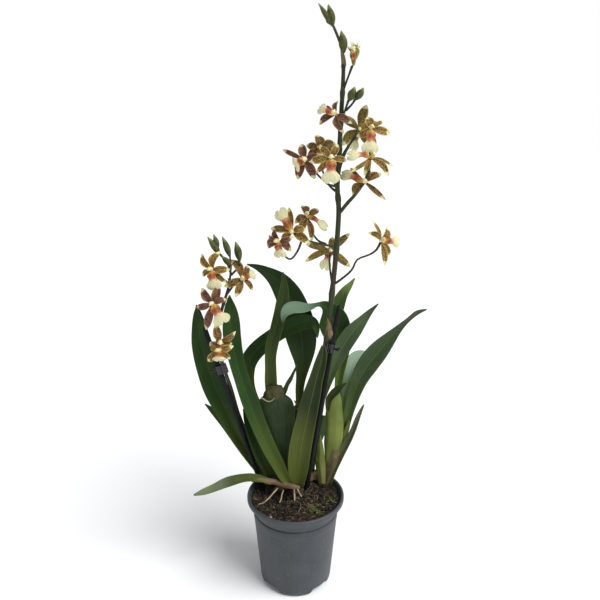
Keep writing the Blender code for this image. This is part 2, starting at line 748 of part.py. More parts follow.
# --- Clips -----------------------------------------------------------------------------------------

def make_clip(name, hold, stem_radius):
    """A one-piece sleeve round a stake and the stem beside it, with a finger tab."""
    on_stake, on_stem, ahead = hold
    half = ahead * CLIP_HEIGHT / 2
    out = (on_stake - on_stem).normalized()

    def sleeve(part, middle, reach, radius):
        return rod(f"{name}_{part}", [middle - reach, middle + reach], [radius] * 2, 16, BLACK_PLASTIC)

    clip = rod(name, [on_stake - half, on_stake + half], [STAKE + CLIP_WALL] * 2, 16, BLACK_PLASTIC)
    boolean(clip, sleeve("stem_ring_guide", on_stem, half, stem_radius + CLIP_WALL), "UNION")
    tab_start = on_stake + out * (STAKE + CLIP_WALL / 2)
    tab = rod(f"{name}_tab_guide", [tab_start, tab_start + out * 5 * MM], [1.4 * MM] * 2, 8, BLACK_PLASTIC)
    boolean(clip, tab, "UNION")
    boolean(clip, sleeve("stake_bore_cutter", on_stake, half * 2, STAKE + GAP), "DIFFERENCE")
    boolean(clip, sleeve("stem_bore_cutter", on_stem, half * 2, stem_radius + GAP), "DIFFERENCE")


make_clip("clip_right", RIGHT_HOLD, TALL_STEM)
make_clip("clip_left", LEFT_HOLD, SHORT_STEM)
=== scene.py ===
"""Potted orchid: the visual model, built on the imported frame.

The plant's own points are in millimetres from the crown datum, which lies on the pot's axis at the
level of the growing medium. -Y is the plant's front.
"""

import math
import random

import bmesh
import bpy
from mathutils import Matrix, Vector, noise


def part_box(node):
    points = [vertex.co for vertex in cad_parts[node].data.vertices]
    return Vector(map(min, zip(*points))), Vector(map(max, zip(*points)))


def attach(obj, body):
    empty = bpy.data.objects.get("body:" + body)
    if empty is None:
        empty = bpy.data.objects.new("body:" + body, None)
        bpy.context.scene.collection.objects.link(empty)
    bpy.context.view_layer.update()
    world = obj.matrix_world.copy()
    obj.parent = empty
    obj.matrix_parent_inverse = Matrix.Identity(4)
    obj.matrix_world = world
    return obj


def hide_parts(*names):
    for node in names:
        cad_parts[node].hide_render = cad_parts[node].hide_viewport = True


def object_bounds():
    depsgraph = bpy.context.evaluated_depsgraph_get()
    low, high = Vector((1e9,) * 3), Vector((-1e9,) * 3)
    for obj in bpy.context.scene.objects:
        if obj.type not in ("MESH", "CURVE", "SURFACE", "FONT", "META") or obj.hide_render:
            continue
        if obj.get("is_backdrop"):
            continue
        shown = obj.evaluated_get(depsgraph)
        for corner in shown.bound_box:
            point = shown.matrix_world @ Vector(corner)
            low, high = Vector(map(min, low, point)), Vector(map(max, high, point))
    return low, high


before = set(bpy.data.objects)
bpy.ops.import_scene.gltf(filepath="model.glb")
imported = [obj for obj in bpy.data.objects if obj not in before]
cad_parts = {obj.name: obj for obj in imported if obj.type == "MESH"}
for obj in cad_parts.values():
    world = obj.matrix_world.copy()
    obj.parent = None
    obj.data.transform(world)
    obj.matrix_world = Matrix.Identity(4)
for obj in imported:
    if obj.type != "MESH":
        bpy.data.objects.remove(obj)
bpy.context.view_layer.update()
MM = 0.001


# --- View ------------------------------------------------------------------------------------------
# The plant stands on a wide, flat white floor under a broad, soft key light from the right and above,
# with the white of the room all round it. The camera is a little above the pot and looks slightly down.

camera = bpy.data.objects.new("camera", bpy.data.cameras.new("camera"))
camera.data.lens = 36
camera.data.sensor_width = 36
camera.data.clip_start = 0.01
camera.location = (5.5 * MM, -651 * MM, 556 * MM)
camera.rotation_euler = (math.radians(90 - 16.13), 0, 0)
bpy.context.scene.collection.objects.link(camera)
bpy.context.scene.camera = camera
bpy.context.scene.view_settings.view_transform = "Standard"

key = bpy.data.objects.new("key_light", bpy.data.lights.new("key_light", "SUN"))
key.data.energy = 3.1
key.data.angle = math.radians(42)
key.rotation_euler = (math.radians(20), math.radians(38), 0)
bpy.context.scene.collection.objects.link(key)

room = bpy.data.worlds.new("room")
room.use_nodes = True
bpy.context.scene.world = room
room_nodes, room_links = room.node_tree.nodes, room.node_tree.links
seen = room_nodes["Background"]
seen.inputs["Color"].default_value = (1.0, 1.0, 1.0, 1.0)
seen.inputs["Strength"].default_value = 1.0
lit = room_nodes.new("ShaderNodeBackground")
lit.inputs["Color"].default_value = (0.96, 0.98, 1.0, 1.0)
lit.inputs["Strength"].default_value = 0.46
path = room_nodes.new("ShaderNodeLightPath")
either = room_nodes.new("ShaderNodeMixShader")
room_links.new(path.outputs["Is Camera Ray"], either.inputs["Fac"])
room_links.new(lit.outputs["Background"], either.inputs[1])
room_links.new(seen.outputs["Background"], either.inputs[2])
room_links.new(either.outputs["Shader"], room_nodes["World Output"].inputs["Surface"])

floor_bm = bmesh.new()
bmesh.ops.create_grid(floor_bm, x_segments=1, y_segments=1, size=12)
floor_mesh = bpy.data.meshes.new("floor")
floor_bm.to_mesh(floor_mesh)
floor_bm.free()
floor = bpy.data.objects.new("floor", floor_mesh)
bpy.context.scene.collection.objects.link(floor)
paper = bpy.data.materials.new("floor_paper")
paper.use_nodes = True
paper.node_tree.nodes["Principled BSDF"].inputs["Base Color"].default_value = (0.95, 0.95, 0.95, 1)
paper.node_tree.nodes["Principled BSDF"].inputs["Roughness"].default_value = 1.0
paper.node_tree.nodes["Principled BSDF"].inputs["Specular IOR Level"].default_value = 0.0
floor_mesh.materials.append(paper)
floor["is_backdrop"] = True


# --- Pot -------------------------------------------------------------------------------------------
# A blow-moulded nursery pot in matt slate-blue plastic: a rolled lip over a hollow neck, a plain band,
# a tapering wall and a rounded heel on four shallow feet. It is one thin skin, spun round its axis.

POT_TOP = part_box("pot")[1][2]
RIM = (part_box("pot")[1][0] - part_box("pot")[0][0]) / 2
CROWN = POT_TOP - 10 * MM
POT_WALL = 1.6 * MM
LIP_DEPTH = 6 * MM
NECK_DEPTH = 13.5 * MM
BAND_DEPTH = 10 * MM
BAND = RIM - 7.7 * MM
HEEL = 44.8 * MM
FOOT = 41.5 * MM
PAD = 16 * MM
HEEL_RISE = 8 * MM
FOOT_HOLLOW = 3 * MM
FLOOR_LEVEL = 10 * MM
NOTCH_HEIGHT = 8.2 * MM
POT_STEPS = 160


def new_finish(name, roughness, specular=0.5):
    """A material, its node tree and its shader, ready for a pattern."""
    made = bpy.data.materials.new(name)
    made.use_nodes = True
    tree = made.node_tree
    shader = tree.nodes["Principled BSDF"]
    shader.inputs["Roughness"].default_value = roughness
    shader.inputs["Specular IOR Level"].default_value = specular
    return made, tree, shader


def grain(tree, scale, detail=3.0, stretch=(1, 1, 1), on="Object"):
    """Noise on the object's own coordinates, or on its UV map, pulled out along an axis by stretch."""
    coordinates = tree.nodes.new("ShaderNodeTexCoord")
    mapping = tree.nodes.new("ShaderNodeMapping")
    mapping.inputs["Scale"].default_value = stretch
    texture = tree.nodes.new("ShaderNodeTexNoise")
    texture.inputs["Scale"].default_value = scale
    texture.inputs["Detail"].default_value = detail
    tree.links.new(coordinates.outputs[on], mapping.inputs["Vector"])
    tree.links.new(mapping.outputs["Vector"], texture.inputs["Vector"])
    return texture.outputs["Fac"]


def shades(tree, source, stops):
    """A colour ramp on a value; each stop is a place and a colour, or a number for a grey."""
    ramp = tree.nodes.new("ShaderNodeValToRGB")
    elements = ramp.color_ramp.elements
    while len(elements) < len(stops):
        elements.new(0.5)
    for element, (place, color) in zip(elements, stops):
        element.position = place
        element.color = (*color, 1.0) if isinstance(color, tuple) else (color, color, color, 1.0)
    tree.links.new(source, ramp.inputs["Fac"])
    return ramp.outputs["Color"]


def blend(tree, how_much, first, second, mode="MIX"):
    """Two colours mixed by a value or a number; a colour may be a socket or three numbers."""
    mix = tree.nodes.new("ShaderNodeMix")
    mix.data_type = "RGBA"
    mix.blend_type = mode
    ends = {"Factor": how_much, "A": first, "B": second}
    sockets = {"Factor": mix.inputs[0], "A": mix.inputs[6], "B": mix.inputs[7]}
    for end, given in ends.items():
        if isinstance(given, bpy.types.NodeSocket):
            tree.links.new(given, sockets[end])
        else:
            sockets[end].default_value = given if end == "Factor" else (*given, 1.0)
    return mix.outputs[2]


def relief(tree, shader, height, distance, strength=1.0):
    """Bump the surface by a height value; distance in metres."""
    bump = tree.nodes.new("ShaderNodeBump")
    bump.inputs["Strength"].default_value = strength
    bump.inputs["Distance"].default_value = distance
    tree.links.new(height, bump.inputs["Height"])
    tree.links.new(bump.outputs["Normal"], shader.inputs["Normal"])


def settle(name, bm, finishes, slot, stands_for=(), smooth_angle=None, rounded=0, turn_out=True):
    """Make a finished piece of a bmesh: faces out, merged, with its materials, riding on the frame."""
    if turn_out:
        bmesh.ops.recalc_face_normals(bm, faces=bm.faces[:])
    mesh = bpy.data.meshes.new(name)
    bm.to_mesh(mesh)
    bm.free()
    for surface in finishes:
        mesh.materials.append(surface)
    mesh.shade_smooth()
    if smooth_angle:
        mesh.set_sharp_from_angle(angle=math.radians(smooth_angle))
    made = bpy.data.objects.new(name, mesh)
    bpy.context.scene.collection.objects.link(made)
    if rounded:
        soften = made.modifiers.new("rounded", "SUBSURF")
        soften.levels = rounded
        soften.render_levels = rounded
    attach(made, "root")
    if stands_for:
        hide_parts(*stands_for)
    return made


def quarter(middle_r, middle_z, reach_r, reach_z, start, steps):
    """Points on a quarter ellipse, from a start angle in degrees, a quarter turn on."""
    turns = [math.radians(start + 90 * i / steps) for i in range(steps + 1)]
    return [(middle_r + reach_r * math.cos(a), middle_z + reach_z * math.sin(a)) for a in turns]


def slate_plastic():
    """Matt slate-blue plastic: a fine moulded grain, faint cloudy wear and a little dust."""
    made, tree, shader = new_finish("slate_plastic", 0.5, 0.4)
    cloud = grain(tree, 38, 4)
    colour = shades(tree, cloud, [(0.3, (0.04, 0.046, 0.053)), (0.7, (0.054, 0.062, 0.07))])
    dust = shades(tree, grain(tree, 420, 6), [(0.62, 0), (0.74, 1)])
    colour = blend(tree, dust, colour, (0.1, 0.105, 0.11))
    tree.links.new(colour, shader.inputs["Base Color"])
    relief(tree, shader, grain(tree, 1700, 2), 0.15 * MM, 0.5)
    return made


lip_foot = POT_TOP - LIP_DEPTH
neck_foot = lip_foot - NECK_DEPTH
band_foot = neck_foot - BAND_DEPTH
outline = [(0.0, 0.0), (PAD, 0.0), (PAD + 2 * MM, FOOT_HOLLOW), (FOOT - 5 * MM, FOOT_HOLLOW)]
outline += [(FOOT - 4 * MM, 0.6 * MM), (FOOT - 3.4 * MM, 0.0), (FOOT - 0.8 * MM, 0.0)]
outline += quarter(FOOT, HEEL_RISE, HEEL - FOOT, HEEL_RISE - 0.7 * MM, -90, 8)
slope = (BAND - 0.7 * MM - HEEL) / (band_foot - 2.2 * MM - HEEL_RISE)
outline += [(HEEL + slope * rise * MM, HEEL_RISE + rise * MM) for rise in (0.8, 1.8, 4, 12)]
outline += [
    (BAND - 0.7 * MM, band_foot - 2.2 * MM), (BAND - 0.5 * MM, band_foot), (BAND, band_foot + 1.4 * MM)
]
outline += [(BAND + 0.2 * MM, neck_foot - 1.6 * MM), (BAND - 0.1 * MM, neck_foot - 0.8 * MM)]
outline += [(BAND - 0.9 * MM, neck_foot - 0.5 * MM), (BAND - 0.9 * MM, neck_foot + 0.4 * MM)]
flare = [
    (0.0, 0.0), (0.06, 0.16), (0.14, 0.32), (0.26, 0.48), (0.42, 0.63), (0.6, 0.76), (0.8, 0.88),
    (1.0, 0.98)
]
neck = [(BAND + (RIM - 3.4 * MM - BAND) * out, neck_foot + NECK_DEPTH * up) for out, up in flare]
outline += neck[1:]
outline += [
    (RIM - 2.6 * MM, lip_foot + 0.2 * MM), (RIM - 0.4 * MM, lip_foot + 0.1 * MM), (RIM, lip_foot + 0.8 * MM)
]
outline += quarter(RIM - 1.6 * MM, POT_TOP - 1.6 * MM, 1.6 * MM, 1.6 * MM, 0, 4)
outline += quarter(RIM - 2.2 * MM, POT_TOP - 1.4 * MM, 1.4 * MM, 1.4 * MM, 90, 4)
inner_neck = [(r - POT_WALL + 0.2 * MM, z) for r, z in reversed(neck)]
outline += inner_neck + [(BAND - POT_WALL - 1 * MM, band_foot), (HEEL - POT_WALL, FLOOR_LEVEL + 2 * MM)]
outline += [(FOOT - POT_WALL, FLOOR_LEVEL), (0.0, FLOOR_LEVEL)]

pot_bm = bmesh.new()
line = [pot_bm.verts.new((r, 0, z)) for r, z in outline]
edges = [pot_bm.edges.new(pair) for pair in zip(line, line[1:])]
bmesh.ops.spin(
    pot_bm, geom=line + edges, cent=(0, 0, 0), axis=(0, 0, 1), angle=math.tau, steps=POT_STEPS, use_merge=True
)
bmesh.ops.remove_doubles(pot_bm, verts=pot_bm.verts[:], dist=0.02 * MM)
for vert in pot_bm.verts:
    radius = math.hypot(vert.co.x, vert.co.y)
    if radius > FOOT - 4.5 * MM and vert.co.z < NOTCH_HEIGHT:
        from_notch = math.degrees(math.atan2(vert.co.y, vert.co.x)) % 90 - 45
        opening = max(0.0, 1 - abs(from_notch / 19) ** 6)
        vert.co.z = max(vert.co.z, NOTCH_HEIGHT * opening + vert.co.z * (1 - opening))
settle("pot_shell", pot_bm, [slate_plastic()], "pot_plastic", ["pot"], smooth_angle=38)


# --- Growing medium --------------------------------------------------------------------------------
# Fine bark and peat, nearly black where damp, heaped up brown and fibrous round the crown and right,
# hollow at the left, with coarse bark chips, pale fibres, a pebble and a little moss lying on it.

MEDIUM_EDGE = BAND + 1.6 * MM


def heap(x, y, middle_x, middle_y, spread, rise):
    """A soft mound's or hollow's share of the height; all in millimetres."""
    return rise * math.exp(-((x - middle_x) ** 2 + (y - middle_y) ** 2) / (2 * spread**2))


def medium_rise(x, y):
    """The medium's surface above the crown datum, in millimetres; x and y likewise."""
    rise = heap(x, y, 24, 16, 20, 7) + heap(x, y, -30, 2, 16, -6) + heap(x, y, 6, -22, 14, 7)
    out = math.hypot(x, y) * MM / MEDIUM_EDGE
    edge = min(1.0, max(0.0, 5 * (1 - out)))
    return rise * edge + 4.5 * max(0.0, out - 0.72) / 0.28


def crumbs(x, y):
    """The finer roughness of the surface, in millimetres."""
    coarse = noise.noise(Vector((x * 0.16, y * 0.16, 3.1)))
    fine = noise.noise(Vector((x * 0.42, y * 0.42, 8.4)))
    return 2.2 * coarse + 1.5 * fine


def bark_peat():
    """Damp peat and bark: near black in the dips, red-brown on the crumbs, with pale specks."""
    made, tree, shader = new_finish("bark_peat", 0.9, 0.25)
    crumb = grain(tree, 260, 8)
    damp = shades(
        tree, crumb,
        [(0.35, (0.004, 0.004, 0.003)), (0.6, (0.018, 0.013, 0.008)), (0.74, (0.075, 0.055, 0.032))]
    )
    patches = grain(tree, 32, 3)
    warm = shades(
        tree, crumb,
        [(0.34, (0.007, 0.005, 0.003)), (0.55, (0.036, 0.022, 0.011)), (0.72, (0.13, 0.09, 0.05))]
    )
    where = shades(tree, patches, [(0.42, 0), (0.56, 1)])
    colour = blend(tree, where, damp, warm)
    tree.links.new(colour, shader.inputs["Base Color"])
    relief(tree, shader, crumb, 1.6 * MM)
    return made


medium_bm = bmesh.new()
top_line = [(MEDIUM_EDGE * i / 46, CROWN) for i in range(47)]
side_line = [(BAND - POT_WALL - 1.6 * MM, band_foot), (HEEL - POT_WALL - 0.6 * MM, FLOOR_LEVEL + 2 * MM)]
floor_line = [(FOOT - POT_WALL - 0.6 * MM, FLOOR_LEVEL + 0.3 * MM), (0.0, FLOOR_LEVEL + 0.3 * MM)]
line = [medium_bm.verts.new((r, 0, z)) for r, z in top_line + side_line + floor_line]
edges = [medium_bm.edges.new(pair) for pair in zip(line, line[1:])]
bmesh.ops.spin(
    medium_bm, geom=line + edges, cent=(0, 0, 0), axis=(0, 0, 1), angle=math.tau, steps=120, use_merge=True
)
bmesh.ops.remove_doubles(medium_bm, verts=medium_bm.verts[:], dist=0.02 * MM)
for vert in medium_bm.verts:
    if vert.co.z > CROWN - 0.5 * MM:
        x, y = vert.co.x / MM, vert.co.y / MM
        vert.co.z += (medium_rise(x, y) + crumbs(x, y)) * MM
settle("medium_bed", medium_bm, [bark_peat()], "growing_medium", ["growing_medium"])


def on_medium(x, y, lift=0.0):
    """A point in metres that lies on the medium, or a little above it."""
    return Vector((x * MM, y * MM, CROWN + (medium_rise(x, y) + crumbs(x, y) + lift) * MM))


def tinted(name, tint, roughness, stops, grain_scale=300, rise=0.3 * MM):
    """A surface whose colour runs through the stops by each lump's own tint, roughened a little."""
    made, tree, shader = new_finish(name, roughness, 0.3)
    attribute = tree.nodes.new("ShaderNodeAttribute")
    attribute.attribute_name = tint
    speckle = grain(tree, grain_scale, 5)
    colour = shades(tree, attribute.outputs["Fac"], stops)
    colour = blend(tree, speckle, colour, (0.01, 0.008, 0.006), "MIX")
    tree.links.new(colour, shader.inputs["Base Color"])
    relief(tree, shader, speckle, rise)
    return made


def scatter_lumps(name, seed, count, where, size, finish, slot):
    """Small irregular lumps strewn on the medium; where gives a place in millimetres from a random source."""
    chance = random.Random(seed)
    bm = bmesh.new()
    tint = bm.faces.layers.float.new("tint")
    for _ in range(count):
        x, y = where(chance)
        long, wide, thick = (side * chance.uniform(0.6, 1.3) * MM for side in size)
        turn = Matrix.Rotation(chance.uniform(0, math.tau), 4, "Z")
        turn = turn @ Matrix.Rotation(chance.gauss(0, 0.5), 4, "X")
        turn = turn @ Matrix.Rotation(chance.gauss(0, 0.4), 4, "Y")
        turn = turn @ Matrix.Diagonal((long, wide, thick, 1))
        place = Matrix.Translation(on_medium(x, y, thick / MM * 0.2)) @ turn
        lump = bmesh.ops.create_icosphere(bm, subdivisions=1, radius=0.5, matrix=place)["verts"]
        for vert in lump:
            vert.co += Vector([chance.uniform(-0.16, 0.16) * wide for _ in range(3)])
        own = chance.random()
        for face in {face for vert in lump for face in vert.link_faces}:
            face[tint] = own
    return settle(name, bm, [finish], slot, smooth_angle=25)


def anywhere(chance):
    angle, radius = chance.uniform(0, math.tau), math.sqrt(chance.random()) * (MEDIUM_EDGE / MM - 3)
    return radius * math.cos(angle), radius * math.sin(angle)


def around(middle_x, middle_y, spread):
    def where(chance):
        while True:
            x, y = chance.gauss(middle_x, spread), chance.gauss(middle_y, spread)
            if math.hypot(x, y) < MEDIUM_EDGE / MM - 1.5:
                return x, y
    return where


bark_tones = [
    (0.0, (0.008, 0.006, 0.005)), (0.6, (0.028, 0.018, 0.011)), (0.88, (0.085, 0.056, 0.032)),
    (1.0, (0.26, 0.21, 0.15))
]
bark = tinted("bark", "tint", 0.85, bark_tones)
scatter_lumps("bark_chips", 3, 230, anywhere, (7.0, 4.0, 2.6), bark, "growing_medium")
scatter_lumps("bark_chips_left", 4, 60, around(-30, -8, 12), (8.0, 4.5, 3.0), bark, "growing_medium")
scatter_lumps("bark_crumbs", 5, 420, anywhere, (2.4, 1.6, 1.3), bark, "growing_medium")
moss = tinted(
    "moss", "tint", 0.9, [(0.0, (0.06, 0.09, 0.015)), (0.6, (0.17, 0.22, 0.05)), (1.0, (0.4, 0.42, 0.16))]
)
scatter_lumps("moss_front", 6, 90, around(24, -28, 3.6), (2.2, 1.6, 1.8), moss, "growing_medium")
scatter_lumps("moss_right", 7, 60, around(44, -8, 4.5), (1.9, 1.4, 1.5), moss, "growing_medium")
pebble = tinted("pebble", "tint", 0.6, [(0.0, (0.5, 0.47, 0.42)), (1.0, (0.75, 0.72, 0.66))])
scatter_lumps("pebbles", 8, 5, around(-31, -40, 1.6), (4.4, 3.2, 2.6), pebble, "growing_medium")


def ease(values, share):
    """The value a share of the way along a smooth curve through the given ones, numbers or vectors."""
    place = min(max(share, 0.0), 1.0) * (len(values) - 1)
    i = min(int(place), len(values) - 2)
    s = place - i
    b, c = values[i], values[i + 1]
    a = values[i - 1] if i else b * 2 - c
    d = values[i + 2] if i + 2 < len(values) else c * 2 - b
    cubic = (b * 3 - a - c * 3 + d) * s**3
    return b + ((c - a) * s + (a * 2 - b * 5 + c * 4 - d) * s**2 + cubic) * 0.5


def heading(points, share):
    return (ease(points, share + 0.01) - ease(points, share - 0.01)).normalized()


def lay_grid(bm, across, along, place):
    """Add a grid of faces with a UV map, and put each corner where its shares across and along say."""
    bm.loops.layers.uv.verify()
    corners = bmesh.ops.create_grid(bm, x_segments=across, y_segments=along, size=1, calc_uvs=True)["verts"]
    for corner in corners:
        corner.co = place((corner.co.x + 1) / 2, (corner.co.y + 1) / 2)
    return corners


def lay_rod(bm, points, radii, sides=8, rings=12, flat=1.0, furrow=None):
    """A grid rolled round a route and closed along its seam and at both ends."""
    facing = Vector((0, -1, 0.2))
    ends = [points[0], *points, points[-1]]

    def place(u, t):
        if t in (0.0, 1.0):
            return ease(points, t)
        along = (t - 0.5 / rings) / (1 - 1 / rings)
        along = min(max(along, 0.0), 1.0)
        ahead = heading(points, along)
        sideways = ahead.cross(facing).normalized()
        out = sideways.cross(ahead)
        angle = -math.tau * u
        radius = ease(radii, along)
        if furrow:
            radius *= furrow(u, along)
        return (
            ease(points, along) + sideways * radius * math.cos(angle) + out * radius * flat * math.sin(angle)
        )

    corners = lay_grid(bm, sides, rings, place)
    bmesh.ops.remove_doubles(bm, verts=corners, dist=0.002 * MM)


def crown_point(x, y, z):
    return Vector((x * MM, y * MM, CROWN + z * MM))


def crown_points(points):
    return [crown_point(*point) for point in points]


def dry_fibre():
    """Dry root and bark fibre: tan, browner in places."""
    made, tree, shader = new_finish("dry_fibre", 0.85, 0.2)
    tone = grain(tree, 120, 4)
    colour = shades(tree, tone, [(0.35, (0.06, 0.04, 0.02)), (0.65, (0.3, 0.24, 0.15))])
    tree.links.new(colour, shader.inputs["Base Color"])
    relief(tree, shader, tone, 0.3 * MM)
    return made


fibre = dry_fibre()
chance = random.Random(11)
fibre_bm = bmesh.new()
for _ in range(110):
    x, y = anywhere(chance) if chance.random() < 0.5 else around(16, -14, 14)(chance)
    angle, length = chance.uniform(0, math.tau), chance.uniform(4, 15)
    points = []
    for _ in range(4):
        angle += chance.gauss(0, 0.5)
        x += math.cos(angle) * length / 4
        y += math.sin(angle) * length / 4
        if math.hypot(x, y) > MEDIUM_EDGE / MM - 1:
            break
        points.append(on_medium(x, y, chance.uniform(0.4, 2.4)))
    if len(points) > 2:
        lay_rod(fibre_bm, points, [0.28 * MM, 0.34 * MM, 0.16 * MM], sides=4, rings=7)
settle("medium_fibres", fibre_bm, [fibre], "growing_medium")


# --- Stakes ----------------------------------------------------------------------------------------
# Two black plastic rods push down through the medium to the pot's floor. The right one leans right
# with the tall spike, the left one carries the short spike; each has a rounded top.

STAKES = {
    "stake_right": ((14, 14, 8), (51, 20, 248)),
    "stake_left": ((-45, 18, 14), (-114, 12, 250)),
}


def black_plastic(name, roughness, shine, bumps):
    """Black plastic with a faint drawn grain."""
    made, tree, shader = new_finish(name, roughness, shine)
    streaks = grain(tree, 300, 4, (1, 1, 0.08))
    colour = shades(tree, streaks, [(0.3, (0.006, 0.006, 0.007)), (0.7, (0.014, 0.014, 0.015))])
    tree.links.new(colour, shader.inputs["Base Color"])
    relief(tree, shader, streaks, bumps)
    return made


stake_black = black_plastic("stake_black", 0.55, 0.12, 0.25 * MM)
for name, (low, high) in STAKES.items():
    foot, top = crown_point(*low), crown_point(*high)
    ahead = (top - foot).normalized()
    foot -= ahead * (foot.z - FLOOR_LEVEL - 4 * MM) / ahead.z
    stake_bm = bmesh.new()
    radii = [2.8 * MM] * 22 + [2.75 * MM, 1.6 * MM]
    lay_rod(
        stake_bm, [foot.lerp(top + ahead * 1.2 * MM, i / 3) for i in range(4)], radii, sides=20, rings=60
    )
    settle(f"{name}_rod", stake_bm, [stake_black], "stake_plastic", [name], rounded=0)


# --- Rhizome and pseudobulbs -----------------------------------------------------------------------
# The creeping stem lies on the medium, wrapped in dry brown scale. Three swollen, flattened bulbs
# stand on it: a broad dark one in front with a ragged leaf scar, a pale young one at the right, and
# an old one behind with dried remains on its top.


def bulb_skin(name, dark, light, fleck):
    """A waxy ribbed skin: ribs along the UV map's length, cloudy colour and small corky flecks."""
    made, tree, shader = new_finish(name, 0.5, 0.2)
    cloud = grain(tree, 45, 4)
    colour = shades(tree, cloud, [(0.3, dark), (0.72, light)])
    ribs = grain(tree, 5, 3, (14, 1.2, 1), "UV")
    lines = shades(tree, ribs, [(0.42, 0.72), (0.6, 1)])
    colour = blend(tree, 0.8, colour, lines, "MULTIPLY")
    specks = shades(tree, grain(tree, 620, 3), [(0.66, 0), (0.72, 1)])
    colour = blend(tree, specks, colour, fleck)
    tree.links.new(colour, shader.inputs["Base Color"])
    relief(tree, shader, ribs, 0.7 * MM, 0.7)
    return made


dark_bulb = bulb_skin("dark_bulb", (0.016, 0.032, 0.009), (0.03, 0.05, 0.015), (0.07, 0.07, 0.03))
pale_bulb = bulb_skin("pale_bulb", (0.13, 0.175, 0.03), (0.2, 0.245, 0.058), (0.24, 0.16, 0.06))


def ridges(count, depth):
    """Shallow lengthwise furrows round a bulb, fading out at its ends."""
    return lambda u, t: 1 - depth * math.sin(math.pi * t) * (0.5 + 0.5 * math.cos(math.tau * count * u))


BULBS = {
    "pseudobulb_centre": (
        [(-17, 24, 14), (-20, 24, 40), (-24, 25, 72), (-25, 26, 105), (-27, 28, 133)],
        [4, 8, 12.5, 16.5, 20, 22, 23.5, 24.5, 25, 24.5, 21, 9], 0.42, dark_bulb, "bulb_green",
        ridges(9, 0.07),
    ),
    "pseudobulb_right": (
        [(37, 33, 16), (44, 34, 43), (48, 35, 64), (49, 36, 84), (49, 37, 105), (50, 37, 132)],
        [3, 4.5, 8, 11, 12, 12.2, 12, 11, 8.5, 4.5], 0.55, pale_bulb, "bulb_pale", ridges(7, 0.06),
    ),
    "pseudobulb_back": (
        [(4, 54, 10), (3, 58, 40), (3, 61, 72), (4, 62, 100)],
        [5, 11, 14, 15, 13, 8, 5], 0.5, dark_bulb, "bulb_green", ridges(8, 0.07),
    ),
}
for name, (points, radii, flat, surface, slot, furrow) in BULBS.items():
    bulb_bm = bmesh.new()
    sizes = [radius * MM for radius in radii]
    lay_rod(bulb_bm, crown_points(points), sizes, sides=56, rings=36, flat=flat, furrow=furrow)
    settle(f"{name}_flesh", bulb_bm, [surface], slot, [name])


def dry_scale(name, dark, light):
    """Dead leaf scale: papery tan with brown lines along it."""
    made, tree, shader = new_finish(name, 0.75, 0.25)
    lines = grain(tree, 6, 5, (22, 1.5, 1), "UV")
    tone = grain(tree, 70, 4)
    colour = shades(tree, lines, [(0.35, dark), (0.65, light)])
    stain = shades(tree, tone, [(0.4, (0.55, 0.5, 0.45)), (0.62, 1)])
    colour = blend(tree, 0.9, colour, stain, "MULTIPLY")
    tree.links.new(colour, shader.inputs["Base Color"])
    relief(tree, shader, lines, 0.5 * MM)
    return made


scale_brown = dry_scale("scale_brown", (0.1, 0.055, 0.03), (0.36, 0.25, 0.15))
scar_olive = dry_scale("scar_olive", (0.035, 0.032, 0.012), (0.1, 0.095, 0.035))
remains_gold = dry_scale("remains_gold", (0.05, 0.035, 0.012), (0.3, 0.25, 0.06))

# The ragged collar where the centre bulb's leaves leave it, with the pale line of a fallen leaf
collar_bm = bmesh.new()
lay_rod(
    collar_bm, crown_points([(-27, 27, 126), (-26, 27, 134), (-26, 28, 143)]),
    [12 * MM, 11.5 * MM, 11 * MM, 8 * MM],
    sides=40, rings=14, flat=0.55,
    furrow=lambda u, t: 1 + 0.1 * math.cos(math.tau * 6 * u + 5 * t) + 0.07 * math.cos(math.tau * 15 * u),
)
settle("bulb_collar", collar_bm, [scar_olive], "bulb_green")
scar_bm = bmesh.new()
scar_line = crown_points(
    [(-44, 17, 128), (-41, 16, 131), (-37, 15, 129), (-33, 15, 127), (-29, 15, 128), (-25, 16, 131)]
)
lay_rod(scar_bm, scar_line, [0.4 * MM, 0.75 * MM, 0.7 * MM, 0.8 * MM, 0.4 * MM], sides=8, rings=26)
remains = [
    ([(2, 53, 98), (1, 51, 106), (-2, 50, 112)], 1.6), ([(6, 53, 96), (8, 51, 105), (7, 50, 113)], 1.8),
    ([(4, 53, 96), (4, 50, 103), (6, 49, 108)], 2.2), ([(0, 54, 97), (-3, 52, 103), (-4, 51, 105)], 1.2),
]
settle("leaf_scar", scar_bm, [dry_scale("scar_pale", (0.26, 0.23, 0.15), (0.5, 0.46, 0.34))], "sheath_dry")
remains_bm = bmesh.new()
for points, width in remains:
    lay_rod(
        remains_bm, crown_points(points), [width * MM, width * MM, 0.3 * MM], sides=10, rings=14, flat=0.5,
        furrow=lambda u, t: 1 + 0.25 * math.sin(9 * t + 12 * u),
    )
settle("bulb_remains", remains_bm, [remains_gold], "sheath_dry")

rhizome_bm = bmesh.new()
rhizome_line = [
    on_medium(-28, 16, 6), on_medium(-12, 20, 8), on_medium(4, 24, 8), on_medium(18, 30, 8),
    on_medium(36, 34, 8)
]
lay_rod(
    rhizome_bm, rhizome_line, [2 * MM, 5 * MM, 6.4 * MM, 6 * MM, 6.6 * MM, 5.4 * MM, 3 * MM],
    sides=28, rings=40,
    furrow=lambda u, t: 1 + 0.1 * math.sin(t * 60) + 0.06 * math.sin(u * math.tau * 5 + t * 9),
)
settle("rhizome_stem", rhizome_bm, [scale_brown], "rhizome", ["rhizome"])


# --- Roots -----------------------------------------------------------------------------------------
# Live roots with their pale, corky coat leave the rhizome and go down into the medium.

